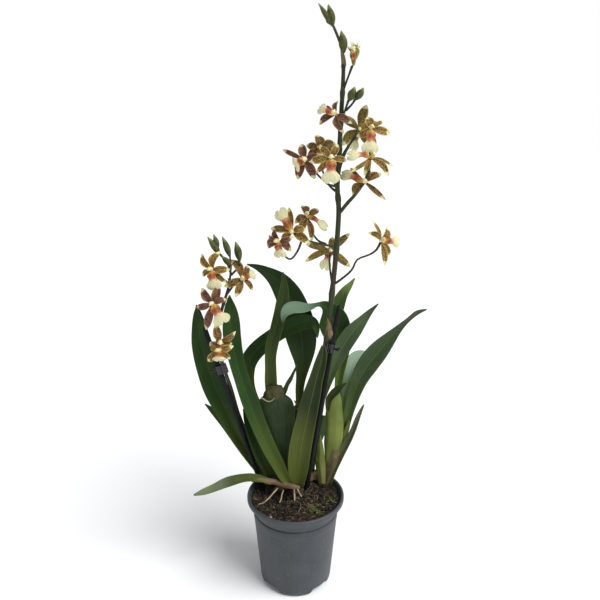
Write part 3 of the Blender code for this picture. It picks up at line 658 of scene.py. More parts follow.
ROOTS = {
    "root_left": ([(-21, 8, 13), (-28, 1, 8.5), (-34, -5, 4.5), (-40, -10, 2.2), (-46, -13, 2.2)], 0.95),
    "root_left_short": ([(-15, 5, 11), (-17, 1, 7), (-18, -3, 3), (-20, -7, 0)], 0.85),
    "root_front": ([(-2, 5, 12), (-1.5, -1, 8), (-1, -7, 4.5), (-0.5, -13, 4)], 1.15),
    "root_right": ([(2, 5, 12), (5, 0, 9), (9, -5, 5), (13, -10, 5)], 0.9),
}


def root_coat():
    """Corky root coat: pale tan, darker and browner in blotches."""
    made, tree, shader = new_finish("root_coat", 0.8, 0.2)
    tone = grain(tree, 160, 5)
    colour = shades(
        tree, tone, [(0.3, (0.13, 0.09, 0.05)), (0.55, (0.36, 0.29, 0.2)), (0.75, (0.52, 0.46, 0.35))]
    )
    tree.links.new(colour, shader.inputs["Base Color"])
    relief(tree, shader, tone, 0.5 * MM)
    return made


cork = root_coat()
for name, (points, width) in ROOTS.items():
    root_bm = bmesh.new()
    sizes = [width * share * MM for share in (1, 1.1, 0.95, 1, 0.6)]
    lay_rod(root_bm, crown_points(points), sizes, sides=10, rings=22)
    settle(f"{name}_live", root_bm, [cork], "root", [name])


# --- Leaves ----------------------------------------------------------------------------------------
# Long strap leaves, folded where they leave the crown and opening to a shallow channel with a keel
# beneath, some arching over. Each is a sheet laid along its midrib, thickened, and softly rippled.

FRONT_LEFT = (0.4, -1, 0.2)
# name: (rows of midrib point and width, facings spread evenly along it, fold at foot and tip, rib)
LEAVES = {
    "leaf_left_outer": (
        [
            ((-34, 20, 10), 9), ((-44, 22, 27), 13), ((-62, 27, 54), 17.5), ((-75, 30, 80), 24),
            ((-87, 28, 112), 28), ((-98, 25, 140), 30), ((-106, 22, 171), 28.5), ((-111, 16, 200), 24),
            ((-112, 8, 224), 17), ((-112, 0, 241), 9), ((-111, -6, 253), 1),
        ],
        [(0.3, -1, 0.3)], 0.5, 0.2, 0.0,
    ),
    "leaf_left_short": (
        [
            ((-34, 32, 8), 7), ((-52, 36, 28), 8), ((-73, 40, 54), 9), ((-93, 44, 83), 9),
            ((-106, 46, 99), 7), ((-116, 48, 108), 1)
        ],
        [(0.3, -1, 0.5)], 0.5, 0.2, 0.0,
    ),
    "leaf_left_front": (
        [
            ((-6, 7, 14), 10), ((-15, 6, 30), 13), ((-23, 6, 48), 16), ((-34, 6, 72), 18),
            ((-46, 9, 102), 19.5), ((-56, 12, 130), 20.5), ((-65, 16, 156), 18), ((-71, 20, 178), 19),
            ((-76, 26, 205), 22), ((-77, 30, 224), 21), ((-78, 36, 239), 15), ((-79, 42, 254), 1),
        ],
        [FRONT_LEFT], 0.6, 0.25, 0.0,
    ),
    "leaf_left_inner": (
        [
            ((-20, 36, 10), 9), ((-33, 41, 42), 14), ((-47, 49, 84), 21), ((-62, 59, 122), 21),
            ((-63, 64, 148), 21),
            ((-57, 66, 165), 21.5), ((-45, 67, 179), 21.5), ((-28, 67, 193), 20), ((-9, 64, 206), 20.5),
            ((9, 60, 214), 20), ((21, 56, 215), 14), ((26, 52, 207), 8), ((27, 48, 197), 1),
        ],
        [(0, -1, 0.2)], 0.45, 0.25, 0.0,
    ),
    "leaf_left_stub": (
        [
            ((-30, 15, 16), 10), ((-36, 13, 38), 15), ((-44, 12, 62), 18.5), ((-52, 13, 86), 17),
            ((-58, 15, 103), 12), ((-64, 18, 116), 1)
        ],
        [(0.4, -1, 0.3)], 0.35, 0.2, 0.0,
    ),
    "leaf_left_low": (
        [
            ((-30, 4, 22), 7), ((-44, 5, 27), 9), ((-58, 8, 26), 11), ((-72, 11, 22), 13),
            ((-88, 12, 16), 13.5), ((-104, 11, 9), 11), ((-117, 7, 6), 8), ((-128, 4, 4), 2),
        ],
        [(0.1, -0.6, 1)], 0.35, 0.2, 0.0,
    ),
    "leaf_front": (
        [
            ((2, 10, 12), 15), ((4, 7, 40), 25), ((6, 5, 63), 27), ((9, 4, 84), 26), ((13, 4, 105), 24.5),
            ((17, 3, 126), 23), ((21, 3, 145), 20), ((25, 4, 163), 15.5), ((29, 6, 177), 14.5),
            ((32, 9, 191), 10), ((33, 11, 201), 4),
        ],
        [(-0.3, -1, 0.1)], 0.55, 0.5, 0.15,
    ),
    "leaf_bulb_tall": (
        [
            ((-30, 28, 126), 12), ((-31, 30, 146), 14), ((-31, 31, 164), 13), ((-31, 33, 180), 13),
            ((-29, 35, 195), 14), ((-24, 38, 213), 14), ((-19, 41, 232), 14.5), ((-16, 43, 247), 14),
            ((-14, 45, 260), 10), ((-14, 46, 271), 5.5), ((-15, 47, 281), 1),
        ],
        [(0.25, -1, 0.1)], 0.9, 0.7, -0.35,
    ),
    "leaf_bulb_thin": (
        [
            ((-20, 32, 118), 9), ((-15, 35, 130), 7), ((-10, 38, 140), 6), ((-4, 42, 150), 4.5),
            ((2, 46, 162), 1.5)
        ],
        [(0.6, -1, 0.2)], 0.5, 0.4, 0.0,
    ),
    "leaf_back_centre": (
        [
            ((5, 62, 96), 9), ((5, 64, 120), 10.5), ((7, 65, 138), 13), ((9, 66, 155), 20),
            ((9, 67, 174), 32),
            ((7, 68, 192), 39), ((2, 69, 214), 41), ((-4, 69, 235), 36), ((-11, 69, 250), 32),
            ((-21, 69, 264), 25), ((-33, 69, 274), 15.5), ((-47, 68, 282), 7.5), ((-60, 67, 286), 1),
        ],
        [(0, -1, 0.15)], 0.5, 0.15, 0.0,
    ),
    "leaf_back_right": (
        [
            ((18, 41, 3), 9), ((23, 50, 34), 9.5), ((28, 63, 72), 11), ((34, 74, 108), 11.5),
            ((39, 82, 137), 12), ((43, 87, 162), 13), ((46, 90, 185), 15.5), ((51, 93, 208), 17.5),
            ((56, 94, 229), 17), ((62, 95, 242), 12.5), ((69, 96, 251), 8), ((76, 97, 261), 1),
        ],
        [(-0.2, -1, 0.3)], 0.4, 0.2, 0.0,
    ),
    "leaf_centre_arching": (
        [
            ((54, 50, 104), 9), ((54, 51, 130), 9), ((56, 54, 150), 12), ((57, 56, 167), 18),
            ((56, 58, 185), 27), ((51, 59, 204), 37), ((45, 58, 221), 36), ((37, 53, 235), 18),
            ((28, 46, 241), 5.5), ((17, 38, 240), 10), ((5, 29, 242), 20), ((-6, 21, 243), 19),
            ((-13, 15, 238), 10), ((-15, 11, 229), 1.5),
        ],
        [(0, -1, 0.1), (-0.1, -1, 0.1), (-0.1, -1, 0.2), (0, -0.8, 0.7), (0, -0.6, 0.9), (-0.4, -0.8, 0.5)],
        0.45, 0.15, 0.0,
    ),
    "leaf_right_inner": (
        [
            ((20, 42, 12), 10), ((21, 42, 60), 10), ((29, 42, 104), 9), ((38, 42, 133), 9.5),
            ((44, 43, 151), 12), ((50, 43, 168), 16), ((56, 44, 183), 20), ((64, 45, 197), 21),
            ((73, 46, 209), 18.5), ((82, 47, 220), 12.5), ((91, 48, 231), 6.5), ((101, 49, 241), 1),
        ],
        [(-0.2, -1, 0.2)], 0.45, 0.25, 0.0,
    ),
    "leaf_right_outer": (
        [
            ((36, 36, 2), 7), ((48, 40, 24), 9), ((56, 43, 46), 9.5), ((62, 42, 70), 10),
            ((67, 37, 100), 12), ((72, 28, 130), 16), ((78, 18, 157), 21), ((88, 14, 178), 25),
            ((99, 9, 196), 23), ((109, 3, 212), 16), ((118, -4, 227), 8.5), ((127, -11, 240), 4.8),
            ((135, -17, 250), 5), ((144, -24, 256), 1),
        ],
        [(-0.3, -1, 0.4)], 0.45, 0.25, 0.0,
    ),
    "leaf_right_bent": (
        [
            ((33, 40, 3), 8), ((42, 48, 32), 9), ((51, 53, 62), 9.5), ((58, 55, 90), 9.5),
            ((63, 59, 120), 13), ((69, 64, 141), 18.5), ((77, 74, 155), 23.5), ((89, 86, 160), 24),
            ((98, 100, 157), 20), ((104, 112, 149), 10), ((107, 120, 142), 1),
        ],
        [(-0.4, -1, 0.4), (-0.4, -1, 0.5), (-0.4, -0.9, 0.8), (-0.1, -0.3, 1), (0.1, 0.1, 1)],
        0.45, 0.2, 0.0,
    ),
    "leaf_right_small": (
        [
            ((40, 29, 108), 5), ((41, 21, 127), 8), ((49, 18, 139), 9.5), ((55, 14, 147), 6),
            ((61, 11, 153), 1)
        ],
        [(-0.3, -1, 0.5)], 0.4, 0.2, 0.0,
    ),
    "leaf_right_narrow": (
        [
            ((42, 28, 4), 8), ((50, 29, 27), 9), ((58, 30, 47), 10), ((66, 31, 64), 9), ((73, 32, 80), 7.5),
            ((78, 33, 95), 6), ((83, 36, 107), 3.5), ((86, 38, 112), 1),
        ],
        [(-0.6, -1, 0.2)], 0.45, 0.3, 0.0,
    ),
}


def leaf_skin(
    name, dark, light, foot, rib_tone, foot_reach=0.25, far_tone=None, far_tone_from=0.5, roughness=0.5
):
    """Leathery leaf: veins along the UV map, paler rib and foot, the far part mixed toward a far tone (a
    painted pale sheen of reflected light on up-facing leaves), brown tip.
    """
    made, tree, shader = new_finish(name, roughness, 0.16)
    coordinates = tree.nodes.new("ShaderNodeTexCoord")
    split = tree.nodes.new("ShaderNodeSeparateXYZ")
    tree.links.new(coordinates.outputs["UV"], split.inputs["Vector"])
    cloud = grain(tree, 26, 4)
    colour = shades(tree, cloud, [(0.32, dark), (0.7, light)])
    low = shades(tree, split.outputs["Y"], [(0.0, 1), (foot_reach, 0.6), (foot_reach + 0.2, 0)])
    colour = blend(tree, low, colour, foot)
    # Far tone: on the up-facing leaves a painted pale bluish sheen standing for reflected room light; on
    # others a darker or yellower tip colour.
    if far_tone:
        stops = [(far_tone_from, 0), (far_tone_from + 0.12, 1), (0.9, 1), (1.0, 0.4)]
        far = shades(tree, split.outputs["Y"], stops)
        colour = blend(tree, far, colour, far_tone)
    veins = grain(tree, 4, 4, (30, 0.7, 1), "UV")
    lines = shades(tree, veins, [(0.38, (0.7, 0.7, 0.68)), (0.64, (1.15, 1.12, 1.1))])
    colour = blend(tree, 0.9, colour, lines, "MULTIPLY")
    rib = shades(tree, split.outputs["X"], [(0.48, 0), (0.5, 0.8), (0.52, 0)])
    colour = blend(tree, rib, colour, rib_tone)
    rim = shades(tree, split.outputs["X"], [(0.0, 0.7), (0.035, 0), (0.965, 0), (1.0, 0.7)])
    colour = blend(tree, rim, colour, rib_tone)
    tip = shades(tree, split.outputs["Y"], [(0.975, 0), (0.995, 1)])
    colour = blend(tree, tip, colour, (0.09, 0.06, 0.035))
    tree.links.new(colour, shader.inputs["Base Color"])
    relief(tree, shader, veins, 0.4 * MM, 0.7)
    return made


OLIVE, PALE_OLIVE = (0.085, 0.115, 0.02), (0.15, 0.19, 0.05)
deep_green = leaf_skin(
    "deep_green", (0.014, 0.042, 0.007), (0.024, 0.062, 0.011), OLIVE, (0.05, 0.09, 0.02)
)
deep_back = leaf_skin(
    "deep_green_back", (0.022, 0.05, 0.012), (0.034, 0.07, 0.018), OLIVE, (0.07, 0.11, 0.03)
)
shade_green = leaf_skin(
    "shade_green", (0.012, 0.034, 0.006), (0.02, 0.05, 0.009), (0.04, 0.065, 0.014), (0.05, 0.085, 0.02)
)
front_green = leaf_skin(
    "front_green", (0.02, 0.035, 0.01), (0.034, 0.05, 0.015), (0.12, 0.15, 0.03), PALE_OLIVE, 0.3
)
folded_green = leaf_skin(
    "folded_green", (0.03, 0.052, 0.013), (0.045, 0.07, 0.018), (0.06, 0.085, 0.02), (0.1, 0.14, 0.045)
)
# Painted light: the outer right leaf is a lighter grey-green copy for the key light from the right, with a
# painted grey sheen on its far part.
sheen_grey_green = leaf_skin(
    "sheen_grey_green", (0.045, 0.082, 0.032), (0.075, 0.12, 0.055), (0.1, 0.16, 0.03), PALE_OLIVE, 0.3,
    (0.11, 0.13, 0.1), 0.75
)
# Painted light: the inner right leaf is a lighter copy of the leaf green, standing for the key light from the
# right.
lit_mid_green = leaf_skin(
    "lit_mid_green", (0.055, 0.095, 0.038), (0.085, 0.13, 0.062), (0.1, 0.16, 0.045), PALE_OLIVE, 0.3,
    (0.05, 0.06, 0.04), 0.86
)
# Painted reflection: the arching leaf's far, up-facing part is mixed toward a pale bluish green standing for
# the bright room's reflection.
sheen_sky_green = leaf_skin(
    "sheen_sky_green", (0.014, 0.042, 0.007), (0.024, 0.062, 0.011), (0.11, 0.17, 0.03), (0.1, 0.15, 0.07), 0.2,
    (0.14, 0.23, 0.15), 0.58
)
# Painted sheen: the bent, up-facing leaf is coloured pale bluish green throughout, with a paler far part, for
# the light it reflects.
pale_green = leaf_skin(
    "pale_green", (0.1, 0.17, 0.08), (0.15, 0.24, 0.13), (0.14, 0.22, 0.06), (0.2, 0.28, 0.16), 0.25,
    (0.24, 0.34, 0.25), 0.45
)
tip_green = leaf_skin(
    "tip_green", (0.06, 0.11, 0.03), (0.09, 0.15, 0.045), OLIVE, PALE_OLIVE, 0.2, (0.2, 0.29, 0.08), 0.8
)
low_green = leaf_skin(
    "low_green", (0.07, 0.1, 0.03), (0.12, 0.16, 0.06), (0.09, 0.12, 0.02), PALE_OLIVE, 0.3,
    (0.16, 0.2, 0.11), 0.5
)
narrow_green = leaf_skin(
    "narrow_green", (0.075, 0.09, 0.045), (0.12, 0.13, 0.075), (0.13, 0.15, 0.04), PALE_OLIVE
)
LEAF_SURFACES = {
    "leaf_back_centre": shade_green,
    "leaf_bulb_tall": folded_green,
    "leaf_bulb_thin": folded_green,
    "leaf_back_right": tip_green,
    "leaf_centre_arching": sheen_sky_green,
    "leaf_front": front_green,
    "leaf_left_stub": shade_green,
    "leaf_left_short": folded_green,
    "leaf_left_low": low_green,
    "leaf_right_inner": lit_mid_green,
    "leaf_right_outer": sheen_grey_green,
    "leaf_right_bent": pale_green,
    "leaf_right_small": folded_green,
    "leaf_right_narrow": narrow_green,
}


def lay_blade(bm, rows, facings, fold_foot, fold_tip, rib, across=8, along=44, ripple=0.5, phase=0.0):
    """A leaf's sheet: rows of midrib point and width; the halves rise from the rib by the fold."""
    points, widths = [row[0] for row in rows], [row[1] * MM for row in rows]
    looks = [Vector(facing) for facing in facings]
    looks = looks * 2 if len(looks) == 1 else looks

    def place(u, t):
        ahead = heading(points, t)
        sideways = ahead.cross(ease(looks, t)).normalized()
        out = sideways.cross(ahead)
        half = max(ease(widths, t), 0.3 * MM) / 2
        side = 2 * u - 1
        fold = fold_foot + (fold_tip - fold_foot) * t
        rise = half * fold * abs(side - rib) ** 1.2
        wave = ripple * MM * side**2 * math.sin(t * 19 + phase + side) * math.sin(math.pi * t)
        return ease(points, t) + sideways * half * side + out * (rise - half * fold * 0.35 + wave)

    return lay_grid(bm, across, along, place)


def thicken(bm, corners, wall, back=1):
    """Give a sheet a second face a wall behind it, closed round its rim, in the next finish."""
    front = list({face for corner in corners for face in corner.link_faces})
    bm.normal_update()
    made = bmesh.ops.solidify(bm, geom=front, thickness=wall)["geom"]
    for face in made:
        if isinstance(face, bmesh.types.BMFace):
            face.material_index += back


for turn, (name, (rows, facings, fold_foot, fold_tip, rib)) in enumerate(LEAVES.items()):
    leaf_bm = bmesh.new()
    placed = [(crown_point(*point), width) for point, width in rows]
    corners = lay_blade(leaf_bm, placed, facings, fold_foot, fold_tip, rib, phase=turn * 1.7)
    thicken(leaf_bm, corners, 0.8 * MM)
    surface = LEAF_SURFACES.get(name, deep_green)
    settle(f"{name}_blade", leaf_bm, [surface, deep_back], "leaf", [name], rounded=1, turn_out=False)


# --- Sheaths ---------------------------------------------------------------------------------------
# Young and dead leaf bases wrap the foot of the right growth and lie across the front of the rhizome:
# fresh yellow-green ones, a papery one, and a long dry brown one.

SHEATHS = {
    "sheath_green": (
        [((34, 22, 4), 9), ((32, 21, 29), 13), ((31, 22, 45), 12), ((31, 23, 62), 8), ((31, 25, 77), 1)],
        (0, -1, 0.2)
    ),
    "sheath_papery": (
        [((40, 28, 4), 10), ((46, 28, 27), 16), ((49, 29, 43), 17), ((48, 30, 56), 14), ((47, 30, 66), 5)],
        (0, -1, 0.2)
    ),
    "sheath_right": (
        [((46, 33, 10), 7), ((53, 34, 40), 9), ((58, 36, 63), 11), ((65, 37, 82), 8), ((69, 38, 94), 1)],
        (-0.5, -1, 0.2)
    ),
    "sheath_dark": (
        [
            ((17, 26, 24), 5), ((22, 26, 42), 8), ((26, 26, 60), 11), ((30, 27, 77), 14),
            ((33, 27, 92), 12), ((35, 28, 102), 4)
        ],
        (0, -1, 0.2)
    ),
    "sheath_dry": (
        [((6, 6, 13), 5), ((-8, 3, 18), 7.5), ((-24, 3, 23), 7.5), ((-42, 3, 26), 6), ((-55, 3, 24), 2)],
        (0.1, -1, 0.7)
    ),
}
fresh_sheath = leaf_skin(
    "fresh_sheath", (0.1, 0.13, 0.025), (0.15, 0.18, 0.04), (0.2, 0.19, 0.07), (0.2, 0.24, 0.09)
)
dark_sheath = leaf_skin(
    "dark_sheath", (0.02, 0.042, 0.014), (0.032, 0.06, 0.022), (0.03, 0.045, 0.014), (0.05, 0.08, 0.03)
)
papery = dry_scale("papery_sheath", (0.1, 0.085, 0.035), (0.26, 0.23, 0.11))
SHEATH_SURFACES = {
    "sheath_green": (fresh_sheath, "sheath_green", ["sheath_green"]),
    "sheath_papery": (papery, "sheath_dry", []),
    "sheath_right": (fresh_sheath, "sheath_green", []),
    "sheath_dark": (dark_sheath, "sheath_green", []),
    "sheath_dry": (scale_brown, "sheath_dry", ["sheath_dry"]),
}
for turn, (name, (rows, facing)) in enumerate(SHEATHS.items()):
    surface, slot, stands_for = SHEATH_SURFACES[name]
    sheath_bm = bmesh.new()
    placed = [(crown_point(*point), width) for point, width in rows]
    corners = lay_blade(
        sheath_bm, placed, [facing], -0.7, -0.5, 0.0, along=24, ripple=0.8, phase=turn * 2.3
    )
    thicken(sheath_bm, corners, 0.6 * MM, back=0)
    settle(f"{name}_wrap", sheath_bm, [surface], slot, stands_for, rounded=1, turn_out=False)


# --- Flower spikes ---------------------------------------------------------------------------------
# Two wiry stems, dark olive flushed with purple-brown, that lean on their stakes and branch above.
# A small bract sits at each joint, and each flower hangs on its own thin stalk.

TALL_STEM = [
    (10, 22, 8), (15, 23, 50), (20, 23, 90), (25, 22, 130), (30.5, 21.5, 165), (36, 21, 196), (39, 21, 222),
    (42, 23, 253), (46, 24, 298), (49, 24, 353), (47, 24, 383), (48, 24, 410), (49, 24, 436), (50, 24, 464),
    (51, 24, 490), (51, 23, 510), (49, 21, 526), (44, 19, 538), (39, 17, 548),
]
SHORT_STEM = [
    (-28, 31, 10), (-43, 28, 34), (-58, 24.5, 64), (-70, 22, 104), (-78, 18, 142), (-84, 12.5, 168),
    (-90, 10, 196), (-90, 8, 226), (-83, 8, 250), (-76, 9, 272), (-73, 9, 290), (-73, 10, 308),
]


def spike_skin():
    """Stem skin: olive green under a purple-brown flush, in streaks along it."""
    made, tree, shader = new_finish("spike_skin", 0.5, 0.25)
    flush = grain(tree, 60, 4, (1, 1, 0.35))
    stops = [(0.34, (0.028, 0.04, 0.012)), (0.52, (0.034, 0.036, 0.014)), (0.72, (0.05, 0.026, 0.02))]
    tree.links.new(shades(tree, flush, stops), shader.inputs["Base Color"])
    relief(tree, shader, grain(tree, 500, 3, (1, 1, 0.1)), 0.25 * MM)
    return made


def bract_skin():
    """Bracts: thin and papery, brown with a pale edge."""
    made, tree, shader = new_finish("bract_skin", 0.6, 0.3)
    tone = grain(tree, 140, 4)
    colour = shades(tree, tone, [(0.3, (0.075, 0.055, 0.025)), (0.7, (0.24, 0.17, 0.09))])
    tree.links.new(colour, shader.inputs["Base Color"])
    relief(tree, shader, tone, 0.3 * MM)
    return made


stem_finish, bract_finish = spike_skin(), bract_skin()


def lay_bract(bm, foot, ahead, out, length, width):
    """A pointed scale that hugs the stem at its foot and stands a little off it at its tip."""
    points = [foot + ahead * length * MM * s + out * (1.0 + 2.4 * s * s) * MM for s in (0, 0.35, 0.7, 1.0)]
    rows = list(zip(points, (width, width * 0.95, width * 0.6, 0.4)))
    corners = lay_blade(bm, rows, [tuple(-out)], 0.9, 0.5, 0.0, across=6, along=8, ripple=0.0)
    for face in {face for corner in corners for face in corner.link_faces}:
        face.material_index = 1
    thicken(bm, corners, 0.35 * MM, back=0)


# name of the flower or bud: the stalk's way points from the stem
TALL_STALKS = {
    "flower_tall_01": [(48, 24, 440), (47, 19, 450), (44, 12, 458)],
    "flower_tall_02": [(48, 24, 398), (53, 23, 415), (61, 27, 431), (70, 33, 444)],
    "flower_tall_03": [(48, 24, 410), (57, 22, 426), (68, 18, 439), (79, 13, 446)],
    "flower_tall_04": [(47, 24, 350), (57, 20, 366), (71, 16, 382), (79, 12, 398), (81, 7, 413)],
    "flower_tall_05": [(47, 24, 350), (58, 22, 364), (68, 20, 376), (76, 20, 388)],
    "flower_tall_06": [(46, 24, 384), (36, 22, 387), (26, 20, 396), (13, 15, 411)],
    "flower_tall_07": [(46, 25, 378), (38, 32, 385), (31, 37, 400), (28, 39, 419)],
    "flower_tall_08": [(46, 23, 382), (43, 16, 390), (41, 10, 402), (39, 5, 414)],
    "flower_tall_09": [(47, 23, 316), (32, 22, 319), (14, 20, 324), (4, 16, 330), (-2, 12, 336)],
    "flower_tall_10": [(36, 23, 319), (26, 27, 323), (18, 31, 334), (14, 32, 348)],
    "flower_tall_11": [(8, 19, 326), (3, 12, 314), (-5, 4, 306), (-13, -1, 313), (-17, -3, 325)],
    "flower_tall_12": [(43, 23, 272), (41, 28, 284), (40, 34, 296), (41, 38, 307)],
    "flower_tall_13": [
        (45, 23, 272), (56, 21, 281), (65, 20, 290), (71, 20, 302), (84, 18, 308), (92, 17, 314),
        (97, 17, 324),
    ],
}
TALL_BUD_STALKS = {
    "bud_tall_open": [(51, 24, 484), (55, 20, 495), (60, 15, 509)],
    "bud_tall_green": [(49, 24, 450), (53, 20, 463), (57, 17, 475)],
    "bud_tall_green_outer": [(54, 20, 464), (60, 17, 470), (64, 15, 476)],
}
SHORT_STALKS = {
    "flower_short_01": [(-75, 9, 276), (-82, 5, 284), (-91, -1, 294)],
    "flower_short_02": [(-78, 9, 264), (-70, 11, 274), (-61, 11, 282)],
    "flower_short_03": [(-88, 8, 234), (-90, 2, 246), (-91, -9, 258)],
    "flower_short_04": [(-92, 9, 206), (-90, 2, 210), (-86, -6, 213)],
    "flower_short_05": [(-90, 10, 190), (-89, 2, 197), (-87, -6, 203)],
    "bud_short_left": [(-73, 9, 290), (-77, 9, 301), (-84, 8, 311)],
    "bud_short_right": [(-73, 9, 286), (-66, 13, 293), (-63, 16, 302)],
    "bud_short_cream": [(-73, 9, 288), (-73, 10, 298)],
}
TALL_BRACTS = [
    (0.2, 34, 12), (0.3, 26, 14), (0.4, 10, 6), (0.46, 10, 6), (0.53, 8, 5), (0.6, 9, 6), (0.64, 9, 5),
    (0.7, 8, 5), (0.76, 8, 5), (0.83, 20, 7),
]
SHORT_BRACTS = [(0.5, 10, 5), (0.62, 8, 5), (0.74, 8, 4.5), (0.84, 7, 4), (0.93, 6, 3.5)]


def grow_spike(name, line, foot_radius, stalks, bracts, node):
    """One spike: its stem, thicker at each joint, the stalks of its flowers and buds, and its bracts."""
    bm = bmesh.new()
    points = crown_points(line)
    joints = [share for share, _, _ in bracts]

    def swell(u, t):
        return 1 + sum(0.28 * math.exp(-(((t - joint) / 0.007) ** 2)) for joint in joints)

    radii = [foot_radius * MM * share for share in (0.9, 1, 1, 1, 0.95, 0.9, 0.86, 0.8, 0.66, 0.5, 0.42)]
    lay_rod(bm, points, radii, sides=14, rings=150, furrow=swell)
    for way in stalks.values():
        lay_rod(bm, crown_points(way), [1.5 * MM, 1.2 * MM, 1.1 * MM, 1.5 * MM], sides=8, rings=18)
    for turn, (share, length, width) in enumerate(bracts):
        ahead = heading(points, share)
        side = Vector((-1 if turn % 2 else 1, -0.8, 0))
        out = (side - ahead * side.dot(ahead)).normalized()
        lay_bract(bm, ease(points, share), ahead, out, length, width)
    return settle(f"{name}_stem", bm, [stem_finish, bract_finish], "flower_stem", [node])


grow_spike("tall_spike", TALL_STEM, 3.2, {**TALL_STALKS, **TALL_BUD_STALKS}, TALL_BRACTS, "spike_tall")
grow_spike("short_spike", SHORT_STEM, 2.4, SHORT_STALKS, SHORT_BRACTS, "spike_short")


# --- Flowers ---------------------------------------------------------------------------------------
# Star-shaped flowers about 55 mm across: sepals and petals barred chestnut on yellow, olive behind, and
# a lip with an orange-red crest over a broad cream skirt, below a short cream column. They are old
# enough to curl, so each has its own pose. Every tepal is a thin sheet grown from the flower's middle.

# name: (middle, way it faces, tepals as (right, up, width) of each tip from the middle, and the lip's)
FLOWERS = {
    "flower_tall_01": (
        (43, 10, 460), (-0.5, -0.75, 0.4),
        [(-18, -9, 9), (-15, 8, 6), (2, 15, 6), (15, -8, 8), (6, -17, 7)], (-17, 6, 13),
    ),
    "flower_tall_02": (
        (71, 36, 445), (0.12, 0.95, 0.1),
        [(7, 26, 11), (-21, 14, 9.5), (-18, -17, 10), (14, -17, 10), (19, 8, 9)], (-9, -23, 14),
    ),
    "flower_tall_03": (
        (80, 10, 446), (0.1, -1, 0.15),
        [(22, -5, 9), (15, 8, 4.5), (-3, 12, 10), (8, -23, 7), (-14, -8, 8)], (-1, -27, 19),
    ),
    "flower_tall_04": (
        (81, 4, 416), (0.05, -0.75, 0.65),
        [(18, -17, 8), (24, -6, 3.5), (4, 14, 9), (-22, -13, 5), (-8, -16, 6)], (-26, 1, 14),
    ),
    "flower_tall_05": (
        (77, 18, 389), (-0.35, -0.8, 0.45),
        [(17, 10, 8.5), (21, -17, 6), (-17, 17, 5), (-14, -14, 10), (4, 15, 6)], (-26, 8, 14),
    ),
    "flower_tall_06": (
        (11, 12, 413), (-0.35, -0.9, 0.2),
        [(-25, 11, 5.5), (-4, 17, 10), (-9, -20, 11), (10, -19, 10), (15, 5, 9)], (-12, -7, 18),
    ),
    "flower_tall_07": (
        (27, 38, 423), (0.1, -0.9, 0.4),
        [(-2, 18, 11.5), (20, 6, 10), (18, -8, 8), (-14, 6, 8), (-13, -9, 8)], (0, -12, 17),
    ),
    "flower_tall_08": (
        (38, 2, 416), (0.05, -1, 0.05),
        [(-22, -4, 9), (-12, 12, 8), (8, 14, 8), (18, -3, 7), (-15, -16, 7)], (0, -27, 21),
    ),
    "flower_tall_09": (
        (-3, 10, 336), (-0.3, -0.9, 0.3),
        [(-5, 26, 7), (15, 3, 9), (19, -11, 10), (-25, 2, 8.5), (-10, -14, 9)], (-15, 23, 17),
    ),
    "flower_tall_10": (
        (13, 32, 350), (0.25, -0.8, 0.5),
        [(-5, 12, 10), (14, 7, 8.5), (7, -26, 7), (-13, -6, 9), (-7, -19, 9)], (24, -15, 12),
    ),
    "flower_tall_11": (
        (-17, -4, 327), (-0.5, -0.8, 0.1),
        [(-15, -8, 10), (-9, 14, 8), (12, -9, 9), (13, 7, 8), (-15, 5, 8)], (3, -17, 17),
    ),
    "flower_tall_12": (
        (41, 40, 308), (-0.05, 0.98, 0.1),
        [(-29, 9, 8.5), (-30, -12, 8.5), (22, 22, 9), (24, -19, 9), (2, 18, 8)], (-7, -24, 15),
    ),
    "flower_tall_13": (
        (97, 16, 325), (0.4, -0.85, 0.2),
        [(-13, 10, 7), (-9, 23, 4), (8, 14, 10), (5, -28, 9), (13, -18, 6)], (22, -4, 14),
    ),
    "flower_short_01": (
        (-92, -2, 295), (-0.3, -0.9, 0.2),
        [(-14, 17, 8.5), (8, 21, 9.5), (20, 2, 9), (-12, -8, 7), (15, -13, 7)], (5, -21, 20),
    ),
    "flower_short_02": (
        (-60, 10, 282), (0.3, -0.8, 0.4),
        [(-12, 22, 10), (6, 14, 8), (-19, -6, 9), (13, -13, 6), (-7, -18, 9)], (14, 4, 13),
    ),
    "flower_short_03": (
        (-91, -12, 259), (-0.1, -1, 0.1),
        [(-13, 17, 10), (6, 21, 10), (-20, -5, 8), (-10, -31, 10), (15, 5, 8)], (13, -22, 21),
    ),
    "flower_short_04": (
        (-86, -8, 213), (0.2, -0.9, -0.1),
        [(-3, 21, 10), (19, 9, 8), (14, -6, 9), (-11, -3, 8), (8, -12, 7)], (-2, -12, 9),
    ),
    "flower_short_05": (
        (-87, -9, 203), (-0.2, -0.95, 0.1),
        [(-14, -15, 8.5), (-12, 6, 8), (16, 5, 9), (12, -11, 8), (2, 10, 7)], (1, -13, 17),
    ),
}


